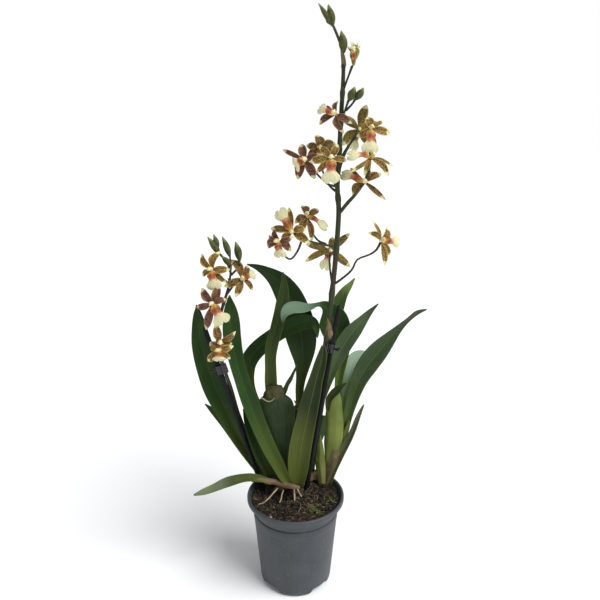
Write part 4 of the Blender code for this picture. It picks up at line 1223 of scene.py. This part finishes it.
def tepal_skin(name, dark, brown, ground, tip, edge):
    """A tepal: brown barred and blotched over a yellow ground, which shows at its root, rim and tip."""
    made, tree, shader = new_finish(name, 0.55, 0.25)
    coordinates = tree.nodes.new("ShaderNodeTexCoord")
    split = tree.nodes.new("ShaderNodeSeparateXYZ")
    tree.links.new(coordinates.outputs["UV"], split.inputs["Vector"])
    cloud = grain(tree, 230, 3)
    colour = shades(tree, cloud, [(0.34, dark), (0.6, brown)])
    bars = grain(tree, 3, 3, (1.6, 9, 1), "UV")
    show = shades(tree, bars, [(0.49, 0), (0.6, 0.85)])
    colour = blend(tree, show, colour, ground)
    veins = grain(tree, 3, 3, (14, 1, 1), "UV")
    lines = shades(tree, veins, [(0.4, (0.46, 0.42, 0.4)), (0.62, (1.2, 1.18, 1.1))])
    colour = blend(tree, 0.8, colour, lines, "MULTIPLY")
    far = tree.nodes.new("ShaderNodeMath")
    far.operation = "MULTIPLY_ADD"
    far.inputs[1].default_value = 0.3
    tree.links.new(cloud, far.inputs[0])
    tree.links.new(split.outputs["Y"], far.inputs[2])
    near_tip = shades(tree, far.outputs["Value"], [(0.94, 0), (1.08, 1)])
    colour = blend(tree, near_tip, colour, tip)
    rim = shades(tree, split.outputs["X"], [(0.0, 1), (0.15, 0), (0.85, 0), (1.0, 1)])
    colour = blend(tree, rim, colour, edge)
    tree.links.new(colour, shader.inputs["Base Color"])
    relief(tree, shader, veins, 0.3 * MM, 0.7)
    return made


def lip_skin():
    """The lip: an orange-red crest at its root, bleeding through pink into a veined cream skirt."""
    made, tree, shader = new_finish("lip_skin", 0.55, 0.25)
    coordinates = tree.nodes.new("ShaderNodeTexCoord")
    split = tree.nodes.new("ShaderNodeSeparateXYZ")
    tree.links.new(coordinates.outputs["UV"], split.inputs["Vector"])
    cloud = grain(tree, 380, 4)
    reach = tree.nodes.new("ShaderNodeMath")
    reach.operation = "MULTIPLY_ADD"
    reach.inputs[1].default_value = 0.34
    tree.links.new(cloud, reach.inputs[0])
    tree.links.new(split.outputs["Y"], reach.inputs[2])
    stops = [
        (0.2, (0.7, 0.5, 0.14)), (0.32, (0.5, 0.2, 0.05)), (0.42, (0.26, 0.06, 0.03)),
        (0.52, (0.42, 0.11, 0.06)),
        (0.62, (0.55, 0.27, 0.14)), (0.7, (0.76, 0.66, 0.42)), (1.0, (0.78, 0.76, 0.52)),
    ]
    colour = shades(tree, reach.outputs["Value"], stops)
    veins = grain(tree, 3, 3, (12, 1, 1), "UV")
    lines = shades(tree, veins, [(0.36, (0.74, 0.78, 0.6)), (0.6, 1)])
    colour = blend(tree, 0.85, colour, lines, "MULTIPLY")
    tree.links.new(colour, shader.inputs["Base Color"])
    relief(tree, shader, cloud, 0.6 * MM, 0.7)
    return made


def column_skin():
    """The column: waxy cream, yellow towards its root."""
    made, tree, shader = new_finish("column_skin", 0.45, 0.35)
    tone = grain(tree, 240, 3)
    colour = shades(tree, tone, [(0.38, (0.6, 0.42, 0.08)), (0.56, (0.82, 0.76, 0.5))])
    tree.links.new(colour, shader.inputs["Base Color"])
    return made


chestnut_face = tepal_skin(
    "chestnut_face", (0.035, 0.012, 0.008), (0.15, 0.058, 0.024), (0.42, 0.3, 0.07), (0.68, 0.62, 0.3),
    (0.36, 0.25, 0.07)
)
golden_face = tepal_skin(
    "golden_face", (0.05, 0.02, 0.01), (0.19, 0.085, 0.026), (0.54, 0.4, 0.09), (0.74, 0.7, 0.36),
    (0.48, 0.36, 0.1)
)
plum_face = tepal_skin(
    "plum_face", (0.035, 0.01, 0.014), (0.15, 0.045, 0.04), (0.3, 0.17, 0.07), (0.62, 0.56, 0.3),
    (0.3, 0.18, 0.09)
)
tepal_back = tepal_skin(
    "tepal_back", (0.09, 0.05, 0.014), (0.2, 0.125, 0.03), (0.36, 0.3, 0.08), (0.62, 0.6, 0.26),
    (0.36, 0.3, 0.1)
)
lip_finish, column_finish = lip_skin(), column_skin()
FACES = [plum_face, chestnut_face, golden_face, golden_face, chestnut_face]


def spread_to(facing, right, up):
    """The tip of a part that spreads right and up, laid level across a flower that faces a given way."""
    depth = -(right * facing.x + up * facing.z) / facing.y
    return Vector((right, max(-14.0, min(14.0, depth)), up))


def lay_tepal(bm, tip, width, facing, back, chance):
    """One tepal from the flower's middle to its tip: a narrow lance, waved, cupped and bent back."""
    shape = [0.3, 0.6, 0.9, 1.0, 0.92, 0.66, 0.06]
    sideways = tip.normalized().cross(facing).normalized()
    twist, phase, sway = chance.gauss(0, 0.3), chance.uniform(0, 6), chance.gauss(0, 1.6)
    cup = chance.uniform(0.3, 0.6)

    def place(u, t):
        half = width / 2 * ease(shape, t)
        s = 2 * u - 1
        lift = 2.4 * math.sin(math.pi * min(1.0, t * 1.1)) - back * t * t * t
        lift += cup * half * s * s + 0.55 * s * s * math.sin(7 * t + phase) + twist * half * s * t
        run = tip * (0.05 + 0.95 * t) + sideways * (half * s + sway * math.sin(math.pi * t))
        return (run + facing * lift) * MM

    thicken(bm, lay_grid(bm, 6, 10, place), 0.45 * MM)


def lay_lip(bm, tip, width, facing, chance):
    """The lip: two side lobes at the root, a raised warty crest, a waist and a broad waved skirt."""
    halves = [0.22, 0.5, 0.62, 0.5, 0.46, 0.7, 0.96, 1.0, 0.88, 0.5]
    sideways = tip.normalized().cross(facing).normalized()
    phase = chance.uniform(0, 6)

    def place(u, t):
        s = 2 * u - 1
        half = ease(halves, t) * width / 2
        crest = 2.4 * math.exp(-(((t - 0.28) / 0.13) ** 2)) * (math.exp(-((s / 0.28) ** 2)) + 0.6 * abs(s))
        lift = 1.5 + crest + 4.0 * math.sin(math.pi * 0.8 * t) - 3.0 * t * t
        lift += 1.6 * max(0.0, t - 0.45) * s * s * math.sin(6 * s + phase) * 1.6 - 2.6 * t * s * s
        notch = 0.1 * math.exp(-((s / 0.22) ** 2)) * max(0.0, t - 0.8) * 5
        return (tip * (0.04 + 0.96 * t - notch) + sideways * half * s + facing * lift) * MM

    corners = lay_grid(bm, 12, 16, place)
    for face in {face for corner in corners for face in corner.link_faces}:
        face.material_index = 2
    thicken(bm, corners, 0.5 * MM, back=0)


def lay_column(bm, facing, top):
    """The column: a short hooded stub over the lip's root, with a wing at each side."""
    first = len(bm.faces)
    sideways = top.cross(facing).normalized()
    spine = [
        facing * out + top * up for out, up in ((-3, 0), (1, 0.8), (4.5, 1.6), (7.5, 1.0), (8.6, -0.2))
    ]
    spine = [point * MM for point in spine]
    lay_rod(bm, spine, [1.4 * MM, 2.2 * MM, 2.6 * MM, 2.4 * MM, 1.2 * MM], sides=12, rings=12)
    for wing in (-1, 1):
        tip = (sideways * wing * 3.6 + facing * 6.6 + top * 0.4) * MM
        lay_rod(
            bm, [spine[2], spine[2].lerp(tip, 0.6), tip], [1.3 * MM, 1.1 * MM, 0.5 * MM], sides=8, rings=6
        )
    bm.faces.ensure_lookup_table()
    for face in bm.faces[first:]:
        face.material_index = 3


for order, (name, (middle, way, tepals, lip)) in enumerate(FLOWERS.items()):
    chance = random.Random(40 + order)
    facing = Vector(way).normalized()
    flower_bm = bmesh.new()
    for right, up, width in tepals:
        lay_tepal(flower_bm, spread_to(facing, right, up), width, facing, chance.uniform(1, 5), chance)
    lip_tip = spread_to(facing, lip[0], lip[1])
    lay_lip(flower_bm, lip_tip + facing * 2, lip[2], facing, chance)
    top = -lip_tip.normalized()
    lay_column(flower_bm, facing, (top - facing * top.dot(facing)).normalized())
    bmesh.ops.translate(flower_bm, vec=crown_point(*middle), verts=flower_bm.verts[:])
    surfaces = [FACES[order % 5], tepal_back, lip_finish, column_finish]
    settle(f"{name}_bloom", flower_bm, surfaces, "petal", [name], rounded=1, turn_out=False)


# --- Buds ------------------------------------------------------------------------------------------
# Closed buds at the spikes' ends: plump and pointed, green with a brown flush and three seams, the
# youngest small and smooth. One on the tall spike has begun to open and shows yellow and red.

# name: list of (foot, tip, width)
BUDS = {
    "bud_tall_tip": [
        ((39, 17, 546), (34, 16, 567), 8.5), ((37, 16, 548), (24, 15, 568), 5.5),
        ((37, 16, 548), (31, 15, 556), 6)
    ],
    "bud_tall_upper": [((51, 20, 521), (48, 20, 543), 9.5)],
    "bud_tall_green": [((57, 17, 474), (63, 14, 488), 9.5), ((64, 15, 475), (72, 12, 487), 8)],
    "bud_short_tip": [((-73, 10, 307), (-81, 9, 331), 7.5)],
    "bud_short_left": [((-84, 8, 310), (-97, 6, 331), 8), ((-86, 8, 316), (-90, 6, 334), 6.5)],
    "bud_short_right": [((-63, 16, 301), (-67, 15, 324), 9), ((-72, 10, 297), (-83, 8, 309), 7)],
}


def bud_skin():
    """Bud: olive green, flushed brown in patches and paler at its tip."""
    made, tree, shader = new_finish("bud_skin", 0.5, 0.25)
    coordinates = tree.nodes.new("ShaderNodeTexCoord")
    split = tree.nodes.new("ShaderNodeSeparateXYZ")
    tree.links.new(coordinates.outputs["UV"], split.inputs["Vector"])
    flush = grain(tree, 150, 3)
    stops = [(0.34, (0.03, 0.042, 0.012)), (0.52, (0.075, 0.095, 0.022)), (0.66, (0.085, 0.045, 0.022))]
    colour = shades(tree, flush, stops)
    tip = shades(tree, split.outputs["Y"], [(0.7, 0), (0.98, 1)])
    colour = blend(tree, tip, colour, (0.26, 0.3, 0.1))
    tree.links.new(colour, shader.inputs["Base Color"])
    relief(tree, shader, grain(tree, 4, 3, (10, 1, 1), "UV"), 0.3 * MM, 0.6)
    return made


bud_finish = bud_skin()
for name, shapes in BUDS.items():
    bud_bm = bmesh.new()
    for foot, tip, width in shapes:
        start, end = crown_point(*foot), crown_point(*tip)
        plump = [width / 2 * MM * share for share in (0.28, 0.62, 0.9, 1.0, 0.95, 0.72, 0.42, 0.12)]
        route = [start, start.lerp(end, 0.5) + Vector((0.6, -0.4, 0)) * MM, end]
        lay_rod(
            bud_bm, route, plump, sides=24, rings=20,
            furrow=lambda u, t: 1 - 0.1 * abs(math.cos(1.5 * math.tau * u)) ** 8
        )
    settle(f"{name}_closed", bud_bm, [bud_finish], "bud", [name])

opening_bm = bmesh.new()
chance = random.Random(77)
for right, near, up in ((-9, -3, 15), (8, -3, 16), (-4, 4, 20), (6, 4, 19), (0, -7, 13)):
    outward = Vector((right, near, 0)).normalized()
    lay_tepal(opening_bm, Vector((right, near, up)), 9, -outward, -2, chance)
lay_lip(opening_bm, Vector((-1, -2, 16)), 7, Vector((0, -1, 0.2)).normalized(), chance)
lay_rod(
    opening_bm, [Vector((0, 0, -4)) * MM, Vector((0, 0, 3)) * MM, Vector((0, 0, 8)) * MM],
    [1.2 * MM, 3 * MM, 2 * MM]
)
bmesh.ops.translate(opening_bm, vec=crown_point(61, 14, 512), verts=opening_bm.verts[:])
opening_surfaces = [golden_face, tepal_back, lip_finish, column_finish]
settle(
    "bud_tall_open_bloom", opening_bm, opening_surfaces, "bud", ["bud_tall_open"], rounded=1, turn_out=False
)


# --- Clips -----------------------------------------------------------------------------------------
# A glossy black snap clip holds each spike to its stake: two short sleeves side by side, with two
# finger tabs at the back that squeeze it open.


def along_stake(name, share):
    low, high = (crown_point(*point) for point in STAKES[name])
    return low.lerp(high, share), (high - low).normalized()


def lay_sleeve(bm, middle, ahead, radius):
    """A short open sleeve round an axis: a ring's section, spun full circle."""
    across = ahead.orthogonal().normalized()
    outer, half = radius + SLEEVE_WALL, SLEEVE_HEIGHT / 2
    corners = ((radius, -half), (outer, -half), (outer, half), (radius, half))
    verts = [bm.verts.new(middle + across * r + ahead * h) for r, h in corners]
    face = bm.faces.new(verts)
    bmesh.ops.spin(bm, geom=[face], cent=middle, axis=ahead, angle=math.tau, steps=36, use_merge=True)
    bmesh.ops.delete(bm, geom=[face], context="FACES_ONLY")


STAKE_BORE = 3.0 * MM
STEM_CLEARANCE = 0.3 * MM
SLEEVE_WALL = 1.5 * MM
SLEEVE_HEIGHT = 11 * MM
clip_black = black_plastic("clip_black", 0.12, 0.5, 0.05 * MM)
# name: (stake, share of its height, side that the stem is on, the stem's radius there)
CLIPS = {
    "clip_right": ("stake_right", 0.78, (-1, 0.35, 0), 2.6),
    "clip_left": ("stake_left", 0.66, (1, -0.25, 0), 2.2),
}
for name, (stake, share, side, stem_radius) in CLIPS.items():
    place, ahead = along_stake(stake, share)
    towards = Vector(side)
    towards = (towards - ahead * towards.dot(ahead)).normalized()
    beyond = ahead.cross(towards)
    clip_bm = bmesh.new()
    on_stem = place + towards * (2.8 + stem_radius + 1.2) * MM
    lay_sleeve(clip_bm, place, ahead, STAKE_BORE)
    lay_sleeve(clip_bm, on_stem, ahead, stem_radius * MM + STEM_CLEARANCE)
    for lean in (-1, 1):
        root = place - towards * 3.6 * MM + beyond * lean * 1.2 * MM
        tip = root - towards * 6.5 * MM + beyond * lean * 2.6 * MM
        lay_rod(
            clip_bm, [root, root.lerp(tip, 0.5), tip], [1.3 * MM, 1.2 * MM, 1.8 * MM], sides=12, rings=10,
            flat=0.5
        )
    settle(f"{name}_snap", clip_bm, [clip_black], "clip_plastic", [name], smooth_angle=40)


low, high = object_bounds()
